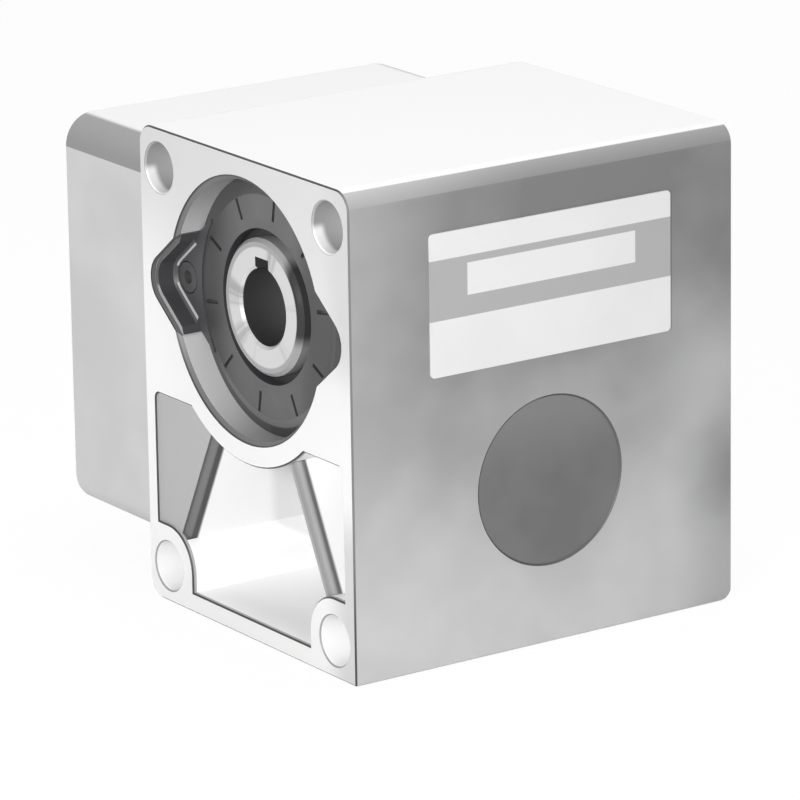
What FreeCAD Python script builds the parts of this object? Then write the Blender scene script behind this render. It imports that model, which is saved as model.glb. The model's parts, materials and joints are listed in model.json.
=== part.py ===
import FreeCAD, Part
import math
import os
import re
import Sketcher

# Right-angle gearhead with a hollow output shaft.
# Frame: origin on the output axis, in the plane of the worm. +X points away from
# the motor, +Y runs along the output axis from the mounting face, +Z is up.

Vector = FreeCAD.Vector
Rotation = FreeCAD.Rotation

# Driving dimensions, in millimetres, degrees and counts
SIZES = (
    ("hole_across", 65, "mounting holes, pitch across"),
    ("hole_height", 90, "mounting holes, pitch in height"),
    ("hole_rise", 25, "top mounting holes above the output axis"),
    ("hole_radius", 5.5, "mounting hole"),
    ("side_edge", 7.8, "mounting holes' centres to the case's sides"),
    ("top_edge", 8.75, "top holes' centres to the case's top"),
    ("bottom_edge", 8.2, "bottom holes' centres to the case's bottom"),
    ("case_depth", 99.5, "case from mounting face to rear face"),
    ("front_reach", 50.75, "mounting face to the worm's plane"),
    ("case_corner", 4.5, "radius on the case's long edges"),
    ("rear_round", 3.5, "radius on the case's rear lower edge"),
    ("edge_break", 0.35, "broken edges round the mounting and rear faces"),
    ("flange_size", 90, "motor flange, side of the square"),
    ("flange_corner", 7, "motor flange, corner radius"),
    ("motor_reach", 80.5, "output axis to the motor face"),
    ("motor_drop", 18.25, "motor axis below the output axis"),
    ("pilot_radius", 41.5, "recess for the motor's centring boss"),
    ("pilot_depth", 4, "depth of that recess"),
    ("gear_room_radius", 36, "chamber for the first gear"),
    ("gear_room_depth", 34.5, "that chamber, from the motor face"),
    ("motor_bolt_circle", 104, "motor screw holes, circle"),
    ("motor_hole_radius", 2.5, "motor screw hole, tapping size"),
    ("motor_hole_depth", 15, "motor screw hole, depth"),
    ("side_wall", 3.9, "walls beside the pocket under the output ring"),
    ("pocket_corner", 1.5, "rounding of the pocket's corners"),
    ("relief_depth", 0.8, "shallow part of the pocket, left of the ribs"),
    ("window_drop", 26.05, "pocket's top edge below the output axis"),
    ("window_bar", 4.45, "bar under the pocket"),
    ("ring_radius", 34, "outside of the ring round the output"),
    ("boss_gap", 46, "clear width between the bottom corner bosses"),
    ("boss_height", 17.7, "height of those bosses from the case's bottom"),
    ("boss_corner", 9.5, "rounding of those bosses"),
    ("rib_thickness", 4, "radial ribs in the pocket"),
    ("rib_setback", 1.4, "rib's front edge behind the mounting face"),
    ("rib_round", 1.7, "rounding of the ribs' front edges"),
    ("web_thickness", 16, "wall between the front and rear pockets"),
    ("tunnel_wall", 4, "wall round the worm's bore"),
    ("recess_radius", 28.4, "bore that takes the front cover"),
    ("recess_chamfer", 1, "chamfer on that bore"),
    ("cover_depth", 5.8, "front cover's face below the mounting face"),
    ("cover_flat_radius", 24.3, "flat part of the cover's face"),
    ("cover_fall", 1, "drop of the cover's rim"),
    ("cover_opening", 17, "cover's opening round the shaft"),
    ("cover_lip", 2.2, "thickness of the cover's face"),
    ("cover_slots", 10, "radial slots in the cover's face"),
    ("slot_inner", 19.5, "slots start at this radius"),
    ("slot_width", 0.9, "slot, width"),
    ("slot_depth", 0.8, "slot, depth"),
    ("slot_turn", 9, "first slot's angle"),
    ("ear_reach", 31, "centre of the ear's round end"),
    ("ear_radius", 6, "ear's round end"),
    ("ear_slope", 38, "ear's sides against the horizontal"),
    ("ear_thickness", 5, "ear of the cover"),
    ("ear_gap", 0.25, "clear space round the ear"),
    ("ear_root", 21.3, "where the ears' sides start, from the output axis"),
    ("ear_inner", 25.5, "inner edge of the ears' plates"),
    ("ear_rim", 0.9, "upright wall round each ear"),
    ("rim_sink", 1.2, "that wall's edge below the mounting face"),
    ("ear_chamfer", 0.8, "sloping foot of that wall"),
    ("cover_overhang", 3, "cover's spigot past the bearing"),
    ("screw_radius", 2, "cover screw, shank"),
    ("screw_head_radius", 3.4, "cover screw, head"),
    ("screw_head", 2.6, "cover screw, height of the head"),
    ("screw_socket", 1.5, "cover screw, half width of its socket"),
    ("screw_socket_depth", 1.6, "cover screw, depth of its socket"),
    ("screw_length", 14, "cover screw's hole, depth in the case"),
    ("screw_spare", 2, "hole beyond the cover screw's end"),
    ("screw_play", 0.25, "clear space round the cover screws"),
    ("shaft_front_sink", 4.75, "hollow shaft's end below the mounting face"),
    ("shaft_rear_sink", 2.75, "hollow shaft's end below the rear face"),
    ("shaft_bore", 8.5, "hollow shaft, bore radius"),
    ("shaft_radius", 15, "hollow shaft, radius at the bearings"),
    ("journal_radius", 17.5, "hollow shaft, radius under the wheel"),
    ("collar_radius", 20.5, "hollow shaft, collar beside the wheel"),
    ("collar_width", 4, "hollow shaft, width of that collar"),
    ("shaft_chamfer", 0.6, "chamfer on the shaft's bore"),
    ("shaft_edge", 0.8, "chamfer round the shaft's ends"),
    ("bore_key_width", 5, "keyway in the bore, width"),
    ("bore_key_depth", 2.3, "keyway in the bore, depth"),
    ("output_race_outer", 23.5, "output bearing, outside radius"),
    ("output_race_width", 9, "output bearing, width"),
    ("output_race_gap", 17.7, "output bearing, outside of its inner ring"),
    ("race_gap", 0.3, "gap between inner ring and shield"),
    ("seal_outer", 21, "oil seal, outside radius"),
    ("seal_width", 6, "oil seal, width"),
    ("seal_gap", 0.5, "oil seal to bearing"),
    ("seal_play", 0.25, "front oil seal to the cover's face plate"),
    ("rear_seal_sink", 6.25, "rear oil seal below the rear face"),
    ("rear_shoulder", 1.5, "rear bore's shoulder between bearing and seal"),
    ("gear_module", 1.75, "worm gear, axial module"),
    ("wheel_teeth", 30, "worm wheel, teeth"),
    ("wheel_width", 22, "worm wheel, face width"),
    ("worm_starts", 2, "worm, thread starts"),
    ("worm_pitch_circle", 21.5, "worm, pitch diameter"),
    ("worm_steps", 4, "worm thread, length in axial pitches"),
    ("thread_sink", 0.3, "foot of the thread inside the worm's core"),
    ("root_depth", 1.25, "tooth roots below the pitch line, in modules"),
    ("backlash", 0.3, "play between worm and wheel"),
    ("pressure_angle", 20, "flank angle of the teeth"),
    ("wheel_key_width", 6, "wheel key, width and height"),
    ("wheel_key_sink", 3.5, "wheel key, depth in the shaft"),
    ("wheel_key_length", 18, "wheel key, length"),
    ("key_play", 0.2, "space above the keys"),
    ("clip_width", 1.5, "retaining rings, thickness"),
    ("clip_grip", 0.6, "retaining ring, depth in its groove"),
    ("clip_height", 2.6, "retaining ring, radial height"),
    ("clip_mouth", 6, "large retaining rings, gap between the ends"),
    ("small_clip_mouth", 4, "gear's retaining ring, gap between the ends"),
    ("worm_radius", 6, "worm shaft, radius at bearings and gear"),
    ("end_race_outer", 18.5, "end bearing, outside radius"),
    ("end_race_width", 12, "end bearing, width"),
    ("end_race_start", 21, "end bearing's inner side to the output axis"),
    ("input_race_outer", 16, "input bearing, outside radius"),
    ("input_race_width", 10, "input bearing, width"),
    ("input_race_start", 8, "input bearing's far side to the gear chamber's floor"),
    ("worm_race_gap", 8.6, "worm bearings, outside of the inner ring"),
    ("cap_thickness", 2.5, "end cap, face"),
    ("cap_skirt", 3, "end cap, wall of its skirt"),
    ("cap_sink", 0.3, "end cap's face below the case's side"),
    ("cap_chamfer", 0.4, "chamfer on the end bore"),
    ("gear_teeth", 40, "first gear, teeth"),
    ("first_module", 0.75, "first gear, module"),
    ("gear_width", 8, "first gear, face width"),
    ("gear_start", 4, "first gear's inner side to its chamber's floor"),
    ("hub_radius", 9, "first gear, hub"),
    ("hub_gap", 1, "clear space round that hub"),
    ("gear_key_width", 4, "gear key, width and height"),
    ("gear_key_length", 8, "gear key, length"),
    ("gear_key_sink", 2.5, "gear key, depth in the shaft"),
    ("shaft_tail", 2, "worm shaft beyond its retaining ring"),
    ("plate_length", 62.6, "rating plate, length"),
    ("plate_height", 31.1, "rating plate, height"),
    ("plate_thickness", 0.4, "rating plate, thickness"),
    ("plate_corner", 1, "rating plate, corner radius"),
    ("plate_front", 20, "rating plate behind the mounting face"),
    ("plate_drop", 11.9, "rating plate below the case's top"),
    ("fit", 0.05, "clearance of pieces in the case and on shafts"),
)
ALIASES = {alias for alias, _, _ in SIZES}

doc = FreeCAD.newDocument("RightAngleGearhead")
sheet = doc.addObject("Spreadsheet::Sheet", "Sheet")
for row, (alias, size, note) in enumerate(SIZES, start=1):
    sheet.set(f"A{row}", note)
    sheet.set(f"B{row}", str(size))
    sheet.setAlias(f"B{row}", alias)
doc.recompute()

# Places worked out from the driving dimensions
FRONT = "(-front_reach)"
REAR = "(case_depth - front_reach)"
SIDE = "(hole_across / 2 + side_edge)"
TOP = "(hole_rise + top_edge)"
HOLE_LOW = "(hole_rise - hole_height)"
BOTTOM = f"({HOLE_LOW} - bottom_edge)"
PITCH = "(gear_module * pi)"
LEAD = f"({PITCH} * worm_starts)"
WHEEL_PITCH_RADIUS = "(wheel_teeth * gear_module / 2)"
WORM_TIP = "(worm_pitch_circle / 2 + gear_module)"
WORM_ROOT = "(worm_pitch_circle / 2 - root_depth * gear_module)"
WORM_Z = f"(-({WHEEL_PITCH_RADIUS} + worm_pitch_circle / 2))"
RIB_ANGLE = f"atan(hole_across / 2 / -{HOLE_LOW})"
RIB_LENGTH = f"sqrt((hole_across / 2)^2 + {HOLE_LOW}^2)"
GEAR_FLOOR = "(motor_reach - gear_room_depth)"
INPUT_RACE = f"({GEAR_FLOOR} - input_race_start)"
GEAR_SIDE = f"({GEAR_FLOOR} + gear_start + gear_width)"
COVER_FACE = f"({FRONT} + cover_depth)"
EAR_TOP = f"({FRONT} + rim_sink)"
EAR_SEAT = f"({COVER_FACE} + ear_thickness)"
FRONT_SEAL = f"({COVER_FACE} + cover_lip + seal_play)"
FRONT_RACE = f"({FRONT_SEAL} + seal_width + seal_gap)"
COVER_END = f"({FRONT_RACE} + output_race_width + cover_overhang)"
REAR_SEAL = f"({REAR} - rear_seal_sink - seal_width)"
REAR_RACE = f"({REAR_SEAL} - seal_gap - output_race_width)"
SHAFT_START = f"({FRONT} + shaft_front_sink)"
SHAFT_END = f"({REAR} - shaft_rear_sink)"
CAP_FACE = f"({SIDE} - cap_sink)"
END_CLIP = "(end_race_start + end_race_width)"

# Tests on edges: how near two places are, and how nearly an edge follows an axis
NEAR = 0.001
ALONG = 0.99

# Turns the Z axis of a round piece towards the named axis
TURNS = {
    "X": Rotation(Vector(0, 1, 0), 90),
    "Y": Rotation(Vector(1, 0, 0), -90),
}


def words(text):
    """An expression with the sheet's words turned into references to the sheet."""
    def refer(match):
        word = match.group()
        return "Sheet." + word if word in ALIASES else word
    return re.sub(r"[a-z_]+", refer, text)


def number(text):
    """The value of an expression of the sheet's words."""
    sheet.set("D1", "=" + text)
    sheet.recompute()
    return float(sheet.D1)


def bind(obj, **texts):
    for prop, text in texts.items():
        obj.setExpression(prop, words(text))


def place(obj, at, axis=None):
    """Put an object's own origin at a point, its Z axis along the named axis."""
    if axis:
        obj.Placement = FreeCAD.Placement(Vector(), TURNS[axis])
    for letter, text in zip("xyz", at):
        obj.setExpression(f".Placement.Base.{letter}", words(text))
    return obj


def block(name, low, size):
    obj = doc.addObject("Part::Box", name)
    bind(obj, Length=size[0], Width=size[1], Height=size[2])
    return place(obj, low)


def rod(name, axis, radius, at, length):
    obj = doc.addObject("Part::Cylinder", name)
    bind(obj, Radius=radius, Height=length)
    return place(obj, at, axis)


def cone(name, axis, radius_start, radius_end, at, length):
    obj = doc.addObject("Part::Cone", name)
    bind(obj, Radius1=radius_start, Radius2=radius_end, Height=length)
    return place(obj, at, axis)


def fuse(name, *shapes):
    obj = doc.addObject("Part::MultiFuse", name)
    obj.Shapes = list(shapes)
    obj.Refine = True
    return obj


def cut(name, base, *tools):
    obj = doc.addObject("Part::Cut", name)
    obj.Base = base
    obj.Tool = tools[0] if len(tools) == 1 else fuse(name + "_tools", *tools)
    obj.Refine = True
    return obj


def common(name, base, tool):
    obj = doc.addObject("Part::Common", name)
    obj.Base = base
    obj.Tool = tool
    return obj


def swung(name, shape, angle):
    """The shape turned about the output axis, by an angle of the sheet."""
    obj = doc.addObject("Part::Compound", name)
    obj.Links = [shape]
    obj.Placement = FreeCAD.Placement(Vector(), Rotation(Vector(0, 1, 0), 1))
    obj.setExpression(".Placement.Rotation.Angle", words(angle))
    return obj


def eased(kind, name, base, reach, chosen):
    """Fillet or chamfer the edges of the base that the test picks."""
    doc.recompute()
    obj = doc.addObject(f"Part::{kind}", name)
    obj.Base = base
    size = number(reach)
    obj.Edges = [
        (index, size, size)
        for index, edge in enumerate(base.Shape.Edges, start=1)
        if chosen(edge)
    ]
    return obj


def runs_along(axis):
    def test(edge):
        start, end = (vertex.Point for vertex in edge.Vertexes)
        return abs((end - start).normalize().dot(axis)) > ALONG
    return test


def lies_at(y):
    """A test for edges in the plane at that place along the output axis."""
    place_y = number(y)
    return lambda edge: all(abs(vertex.Y - place_y) < NEAR for vertex in edge.Vertexes)


def sketch_loop(sketch, points):
    """A closed loop of lines whose corners are bound to pairs of expressions."""
    corners = [Vector(number(across), number(along), 0) for across, along in points]
    count = len(corners)
    for index, corner in enumerate(corners):
        sketch.addGeometry(Part.LineSegment(corner, corners[(index + 1) % count]))
    for index in range(count):
        following = (index + 1) % count
        sketch.addConstraint(Sketcher.Constraint("Coincident", index, 2, following, 1))
    for index, (pair, corner) in enumerate(zip(points, corners)):
        directions = zip(("DistanceX", "DistanceY"), pair, corner, (-2, -1))
        for kind, text, size, axis_line in directions:
            if text == "0":
                sketch.addConstraint(
                    Sketcher.Constraint("PointOnObject", index, 1, axis_line)
                )
                continue
            datum = sketch.addConstraint(
                Sketcher.Constraint(kind, -1, 1, index, 1, size)
            )
            sketch.setExpression(f"Constraints[{datum}]", words(text))


def origin_plane(body, role):
    return next(plane for plane in body.Origin.OriginFeatures if plane.Role == role)


def section_sketch(body, name, points):
    sketch = body.newObject("Sketcher::SketchObject", name)
    sketch.AttachmentSupport = (origin_plane(body, "XZ_Plane"), [""])
    sketch.MapMode = "FlatFace"
    sketch_loop(sketch, points)
    return sketch


def turned(name, axis, at, points):
    """A turned piece. Each point of its half section is (radius, place along the axis)."""
    body = doc.addObject("PartDesign::Body", name)
    sketch = section_sketch(body, name + "_section", points)
    turn = body.newObject("PartDesign::Revolution", name + "_turn")
    turn.Profile = sketch
    turn.ReferenceAxis = (sketch, ["V_Axis"])
    turn.Angle = 360
    return place(body, at, axis)


def ring(name, axis, at, inner, outer, width):
    section = ((inner, "0"), (outer, "0"), (outer, width), (inner, width))
    return turned(name, axis, at, section)


def prism(name, points, start, length):
    """An outline in X and Z, carried along Y."""
    sketch = doc.addObject("Sketcher::SketchObject", name + "_outline")
    sketch.Placement = FreeCAD.Placement(Vector(), Rotation(Vector(1, 0, 0), 90))
    sketch.setExpression(".Placement.Base.y", words(start))
    sketch_loop(sketch, points)
    obj = doc.addObject("Part::Extrusion", name)
    obj.Base = sketch
    obj.DirMode = "Custom"
    obj.Dir = Vector(0, 1, 0)
    obj.Solid = True
    bind(obj, LengthFwd=length)
    return obj


def tooth_outline(teeth, module, turn, gap_angle, play):
    """Corners of a toothed wheel: involute flanks at root, pitch and tip.

    A gap lies at gap_angle, and the whole outline is turned by turn.
    """
    pitch_radius = teeth * module / 2
    pressure = math.radians(sheet.pressure_angle)
    base_radius = pitch_radius * math.cos(pressure)

    def spread(radius):
        roll = math.acos(min(1, base_radius / radius))
        return math.tan(roll) - roll

    half_pitch = (math.pi * module / 2 - play) / 2 / pitch_radius
    radii = (pitch_radius - sheet.root_depth * module, pitch_radius, pitch_radius + module)
    halves = [half_pitch + spread(pitch_radius) - spread(radius) for radius in radii]
    rising = list(zip(radii, [-half for half in halves]))
    falling = list(zip(radii, halves))[::-1]
    corners = []
    for tooth in range(teeth):
        middle = gap_angle + turn + (tooth + 0.5) * 2 * math.pi / teeth
        corners += [(radius, middle + offset) for radius, offset in rising + falling]
    return corners


# Gear case: the outside is a block with rounded edges and a square motor flange
def gear_case():
    body = block(
        "case_block",
        (f"-{SIDE}", FRONT, BOTTOM),
        (f"2 * {SIDE}", "case_depth", f"{TOP} - {BOTTOM}"),
    )
    along_y = runs_along(Vector(0, 1, 0))
    in_front = lies_at(FRONT)
    in_rear = lies_at(REAR)
    floor = number(BOTTOM)

    def lower(edge):
        return all(abs(vertex.Z - floor) < NEAR for vertex in edge.Vertexes)

    def lower_right(edge):
        return along_y(edge) and lower(edge) and all(vertex.X > 0 for vertex in edge.Vertexes)

    def rounded_edge(edge):
        return along_y(edge) and not lower_right(edge)

    def broken_edge(edge):
        return in_front(edge) or in_rear(edge) or lower_right(edge)

    rounded = eased("Fillet", "case_rounded", body, "case_corner", rounded_edge)
    broken_block = eased("Chamfer", "case_broken_block", rounded, "edge_break", broken_edge)
    foot_block = block(
        "foot_block",
        (f"-{SIDE}", FRONT, BOTTOM),
        (f"2 * {SIDE}", "case_depth", f"{TOP} - {BOTTOM}"),
    )
    foot = eased(
        "Fillet", "case_foot", foot_block, "rear_round", lambda edge: in_rear(edge) and lower(edge)
    )
    shell = common("case_shell", broken_block, foot)
    flange_block = block(
        "flange_block",
        ("-motor_reach", "-flange_size / 2", "-motor_drop - flange_size / 2"),
        (f"motor_reach - {SIDE} + 2 * case_corner", "flange_size", "flange_size"),
    )
    flange = eased(
        "Fillet", "motor_flange", flange_block, "flange_corner", runs_along(Vector(1, 0, 0))
    )
    outside = fuse("case_outside", shell, flange)

    # Pockets under the output ring, open to the front and to the rear
    pockets = []
    for end, shallow, deep in (
        ("front", (FRONT, f"{FRONT} + relief_depth"), (f"{FRONT} + relief_depth", "-web_thickness / 2")),
        ("rear", (f"{REAR} - relief_depth", REAR), ("web_thickness / 2", f"{REAR} - relief_depth")),
    ):
        pockets.append(pocket(f"{end}_pocket", *shallow))
        reach = "(hole_across + hole_height)"
        right_side = swung(
            f"{end}_right_side",
            block(f"{end}_half", ("0", FRONT, f"-{reach}"), (reach, "case_depth", reach)),
            RIB_ANGLE,
        )
        pockets.append(common(f"{end}_deep", pocket(f"{end}_deep_pocket", *deep), right_side))
    opened = cut("case_opened", outside, *pockets)
    window_top = number("-window_drop")

    def pocket_edge(edge):
        return in_front(edge) and inside_window(edge, window_top)

    broken = eased("Chamfer", "case_broken", opened, "edge_break", pocket_edge)

    # Ribs, the worm's tunnel and the end bearing's boss stand in the pockets
    ribs = []
    for side, angle in (("left", RIB_ANGLE), ("right", f"-{RIB_ANGLE}")):
        bar = block(
            f"{side}_rib_bar",
            ("-rib_thickness / 2", f"{FRONT} + rib_setback", f"-{RIB_LENGTH}"),
            ("rib_thickness", "case_depth - 2 * rib_setback", f"{RIB_LENGTH} - recess_radius"),
        )
        along_z = runs_along(Vector(0, 0, 1))
        nose = eased("Fillet", f"{side}_rib_nose", bar, "rib_round", along_z)
        ribs.append(swung(f"{side}_rib", nose, angle))
    tunnel = rod(
        "tunnel", "X", "input_race_outer + tunnel_wall", (f"-{SIDE}", "0", WORM_Z), f"2 * {SIDE}"
    )
    end_boss = rod(
        "end_boss",
        "X",
        "end_race_outer + tunnel_wall",
        ("end_race_start - tunnel_wall", "0", WORM_Z),
        f"{SIDE} - end_race_start + tunnel_wall",
    )
    framed = fuse("case_framed", broken, *ribs, tunnel, end_boss)
    bores = output_bores() + worm_bores() + motor_bores() + case_holes()
    return cut("gear_case", framed, *bores)


def inside_window(edge, window_top):
    """True for an edge of the pocket's outline, away from the case's outside."""
    wall = number("side_wall") / 2
    side = number(SIDE) - wall
    low = number(BOTTOM) + wall
    points = [vertex.Point for vertex in edge.Vertexes]
    return all(abs(p.x) < side and low < p.z < window_top + NEAR for p in points)


def pocket(name, low, high):
    """The pocket's outline: a window less the output ring and the corner bosses."""
    depth = f"{high} - ({low})"
    width = f"(2 * {SIDE} - 2 * side_wall)"
    height = f"-window_drop - ({BOTTOM} + window_bar)"
    opening = block(
        name + "_opening", (f"-{width} / 2", low, f"{BOTTOM} + window_bar"), (width, depth, height)
    )
    window = eased("Fillet", name + "_window", opening, "pocket_corner", runs_along(Vector(0, 1, 0)))
    ring_rod = rod(name + "_ring", "Y", "ring_radius", ("0", low, "0"), depth)
    inner = number("boss_gap") / 2
    crest = number(f"{BOTTOM} + boss_height")

    def inner_crest(edge):
        points = [vertex.Point for vertex in edge.Vertexes]
        return all(abs(abs(p.x) - inner) < NEAR and abs(p.z - crest) < NEAR for p in points)

    bosses = []
    for side, start in (("left", f"-{SIDE}"), ("right", "boss_gap / 2")):
        bar = block(
            f"{name}_{side}_bar",
            (start, low, BOTTOM),
            (f"{SIDE} - boss_gap / 2", depth, "boss_height"),
        )
        bosses.append(eased("Fillet", f"{name}_{side}_boss", bar, "boss_corner", inner_crest))
    return cut(name, window, ring_rod, *bosses)


def output_bores():
    """Bores along the output axis: cover, wheel chamber, rear bearing, rear seal."""
    chamber_end = "wheel_width / 2 + collar_width"
    bores = [
        cone(
            "recess_edge",
            "Y",
            "recess_radius + recess_chamfer",
            "recess_radius",
            ("0", FRONT, "0"),
            "recess_chamfer",
        ),
        rod("wheel_room", "Y", "recess_radius", ("0", FRONT, "0"), f"{chamber_end} - {FRONT}"),
        rod(
            "rear_race_seat",
            "Y",
            "output_race_outer + fit",
            ("0", "0", "0"),
            f"{REAR_RACE} + output_race_width",
        ),
        rod("rear_shoulder", "Y", "seal_outer - rear_shoulder", ("0", "0", "0"), REAR_SEAL),
        rod("rear_seal_seat", "Y", "seal_outer + fit", ("0", REAR_SEAL, "0"), f"{REAR} - {REAR_SEAL}"),
        cone(
            "rear_edge",
            "Y",
            "seal_outer + fit",
            "seal_outer + fit + recess_chamfer",
            ("0", f"{REAR} - recess_chamfer", "0"),
            "recess_chamfer",
        ),
    ]
    bores += ears("ear_seat", FRONT, f"{EAR_SEAT} - {FRONT}", "0")
    return bores


def ears(name, start, length, inset):
    """The two ears' prisms: round ends with sloping sides that run into the bore."""
    tip = f"(ear_radius - {inset})"
    tangent_x = f"(ear_reach + {tip} * sin(ear_slope))"
    tangent_z = f"({tip} * cos(ear_slope))"
    root_z = f"({tangent_z} + ({tangent_x} - ear_root) * tan(ear_slope))"
    shapes = []
    for side, sign in (("left", "-"), ("right", "")):
        outline = (
            (f"{sign}ear_root", root_z),
            (f"{sign}{tangent_x}", tangent_z),
            (f"{sign}{tangent_x}", f"-{tangent_z}"),
            (f"{sign}ear_root", f"-{root_z}"),
        )
        shapes.append(prism(f"{name}_{side}", outline, start, length))
        shapes.append(rod(f"{name}_{side}_end", "Y", tip, (f"{sign}ear_reach", start, "0"), length))
    return shapes


def worm_bores():
    """Bores along the worm's axis: hub hole, input bearing and tunnel, end bearing, cap."""
    return [
        rod("hub_hole", "X", "hub_radius + hub_gap", (f"-{GEAR_FLOOR}", "0", WORM_Z), GEAR_FLOOR),
        rod("worm_room", "X", "input_race_outer + fit", (f"-{INPUT_RACE}", "0", WORM_Z),
            f"{INPUT_RACE} + end_race_start"),
        rod("end_race_seat", "X", "end_race_outer + fit", ("end_race_start", "0", WORM_Z),
            f"{SIDE} - end_race_start"),
        rod("end_clip_groove", "X", "end_race_outer + clip_grip + fit", (END_CLIP, "0", WORM_Z),
            "clip_width + 2 * fit"),
        cone("cap_edge", "X", "end_race_outer + fit", "end_race_outer + fit + cap_chamfer",
             (f"{SIDE} - cap_chamfer", "0", WORM_Z), "cap_chamfer"),
    ]


def motor_bores():
    """The motor side: centring recess, chamber of the first gear, four tapped holes."""
    motor_z = "-motor_drop"
    reach = "motor_bolt_circle / 2 / sqrt(2)"
    bores = [
        rod("pilot", "X", "pilot_radius", ("-motor_reach", "0", motor_z), "pilot_depth"),
        rod("gear_room", "X", "gear_room_radius", ("-motor_reach", "0", motor_z), "gear_room_depth"),
    ]
    for index, (across, up) in enumerate((("", ""), ("", "-"), ("-", ""), ("-", "-"))):
        bores.append(rod(
            f"motor_hole_{index}", "X", "motor_hole_radius",
            ("-motor_reach", f"{across}{reach}", f"{motor_z} + ({up}{reach})"), "motor_hole_depth",
        ))
    return bores


def case_holes():
    """Four mounting holes through the case, and two tapped holes for the cover."""
    holes = []
    corners = [(side, up) for side in ("", "-") for up in ("hole_rise", HOLE_LOW)]
    for index, (side, up) in enumerate(corners):
        at = (f"{side}hole_across / 2", FRONT, up)
        holes.append(rod(f"mounting_hole_{index}", "Y", "hole_radius", at, "case_depth"))
        rim = ("hole_radius + edge_break", "hole_radius")
        holes.append(cone(f"mounting_rim_{index}", "Y", *rim, at, "edge_break"))
    for side, sign in (("left", "-"), ("right", "")):
        at = (f"{sign}ear_reach", EAR_SEAT, "0")
        holes.append(rod(f"cover_thread_{side}", "Y", "screw_radius + fit", at, "screw_length"))
    return holes


# Front cover: turned spigot for bearing and seal, two ears, slots in its face
def front_bearing_cover():
    spigot = "(recess_radius - fit)"
    inner_end = f"{COVER_END} - {COVER_FACE}"
    shoulder = f"{FRONT_RACE} - {COVER_FACE}"
    section = (
        ("cover_opening", "0"),
        ("cover_flat_radius", "0"),
        (spigot, "cover_fall"),
        (spigot, inner_end),
        ("output_race_outer + fit", inner_end),
        ("output_race_outer + fit", shoulder),
        ("seal_outer + fit", shoulder),
        ("seal_outer + fit", "cover_lip"),
        ("cover_opening", "cover_lip"),
    )
    core = turned("cover_core", "Y", ("0", COVER_FACE, "0"), section)

    # Each ear is a cup: a plate with an upright wall that ends at the round bore
    cups = fuse("cover_cups", *ears("cover_ear", EAR_TOP, f"{EAR_SEAT} - {EAR_TOP}", "ear_gap"))
    room = fuse(
        "cup_rooms", *ears("cup_room", EAR_TOP, f"{COVER_FACE} - {EAR_TOP}", "(ear_gap + ear_rim)")
    )
    sloped_room = eased("Chamfer", "cup_room_sloped", room, "ear_chamfer", lies_at(COVER_FACE))
    over_ring = rod("over_ring", "Y", "recess_radius", ("0", FRONT, "0"), "cover_depth")
    keep_out = rod("cover_hollow", "Y", "ear_inner", ("0", FRONT, "0"), "case_depth")
    blank = fuse("cover_blank", core, cut("cover_ears", cups, sloped_room, over_ring, keep_out))
    tools = []
    for side, sign in (("left", "-"), ("right", "")):
        at = (f"{sign}ear_reach", COVER_FACE, "0")
        tools.append(rod(f"screw_hole_{side}", "Y", "screw_radius + screw_play", at, "ear_thickness"))
        tools.append(rod(f"screw_seat_{side}", "Y", "screw_head_radius + screw_play", at, "screw_head"))
    for index in range(int(sheet.cover_slots)):
        bar = block(
            f"slot_bar_{index}",
            ("slot_inner", COVER_FACE, "-slot_width / 2"),
            ("cover_flat_radius - slot_inner", "slot_depth", "slot_width"),
        )
        tools.append(swung(f"slot_{index}", bar, f"-slot_turn - {index} * 360 / cover_slots"))
    return cut("front_bearing_cover", blank, *tools)


# Two cap screws with a square-cut socket hold the cover's ears
def front_cover_screws():
    screws = []
    for side, sign in (("left", "-"), ("right", "")):
        section = (
            ("0", "screw_socket_depth"),
            ("screw_socket", "screw_socket_depth"),
            ("screw_socket", "0"),
            ("screw_head_radius", "0"),
            ("screw_head_radius", "screw_head"),
            ("screw_radius", "screw_head"),
            ("screw_radius", "ear_thickness + screw_length - screw_spare"),
            ("0", "ear_thickness + screw_length - screw_spare"),
        )
        at = (f"{sign}ear_reach", COVER_FACE, "0")
        screws.append(turned(f"cover_screw_{side}", "Y", at, section))
    group = doc.addObject("Part::Compound", "front_cover_screws")
    group.Links = screws
    return group


# Oil seals and output bearings sit alike at both ends of the hollow shaft
def output_supports():
    shield = "output_race_gap + race_gap"
    shaft = "shaft_radius + fit"
    width = "output_race_width"
    pieces = []
    for end, seal_y, race_y in (("front", FRONT_SEAL, FRONT_RACE), ("rear", REAR_SEAL, REAR_RACE)):
        seal_at = ("0", seal_y, "0")
        race_at = ("0", race_y, "0")
        pieces.append(ring(f"{end}_oil_seal", "Y", seal_at, shaft, "seal_outer", "seal_width"))
        pieces.append(ring(f"{end}_bearing_outer", "Y", race_at, shield, "output_race_outer", width))
        pieces.append(ring(f"{end}_bearing_inner", "Y", race_at, shaft, "output_race_gap", width))
    return pieces


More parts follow.
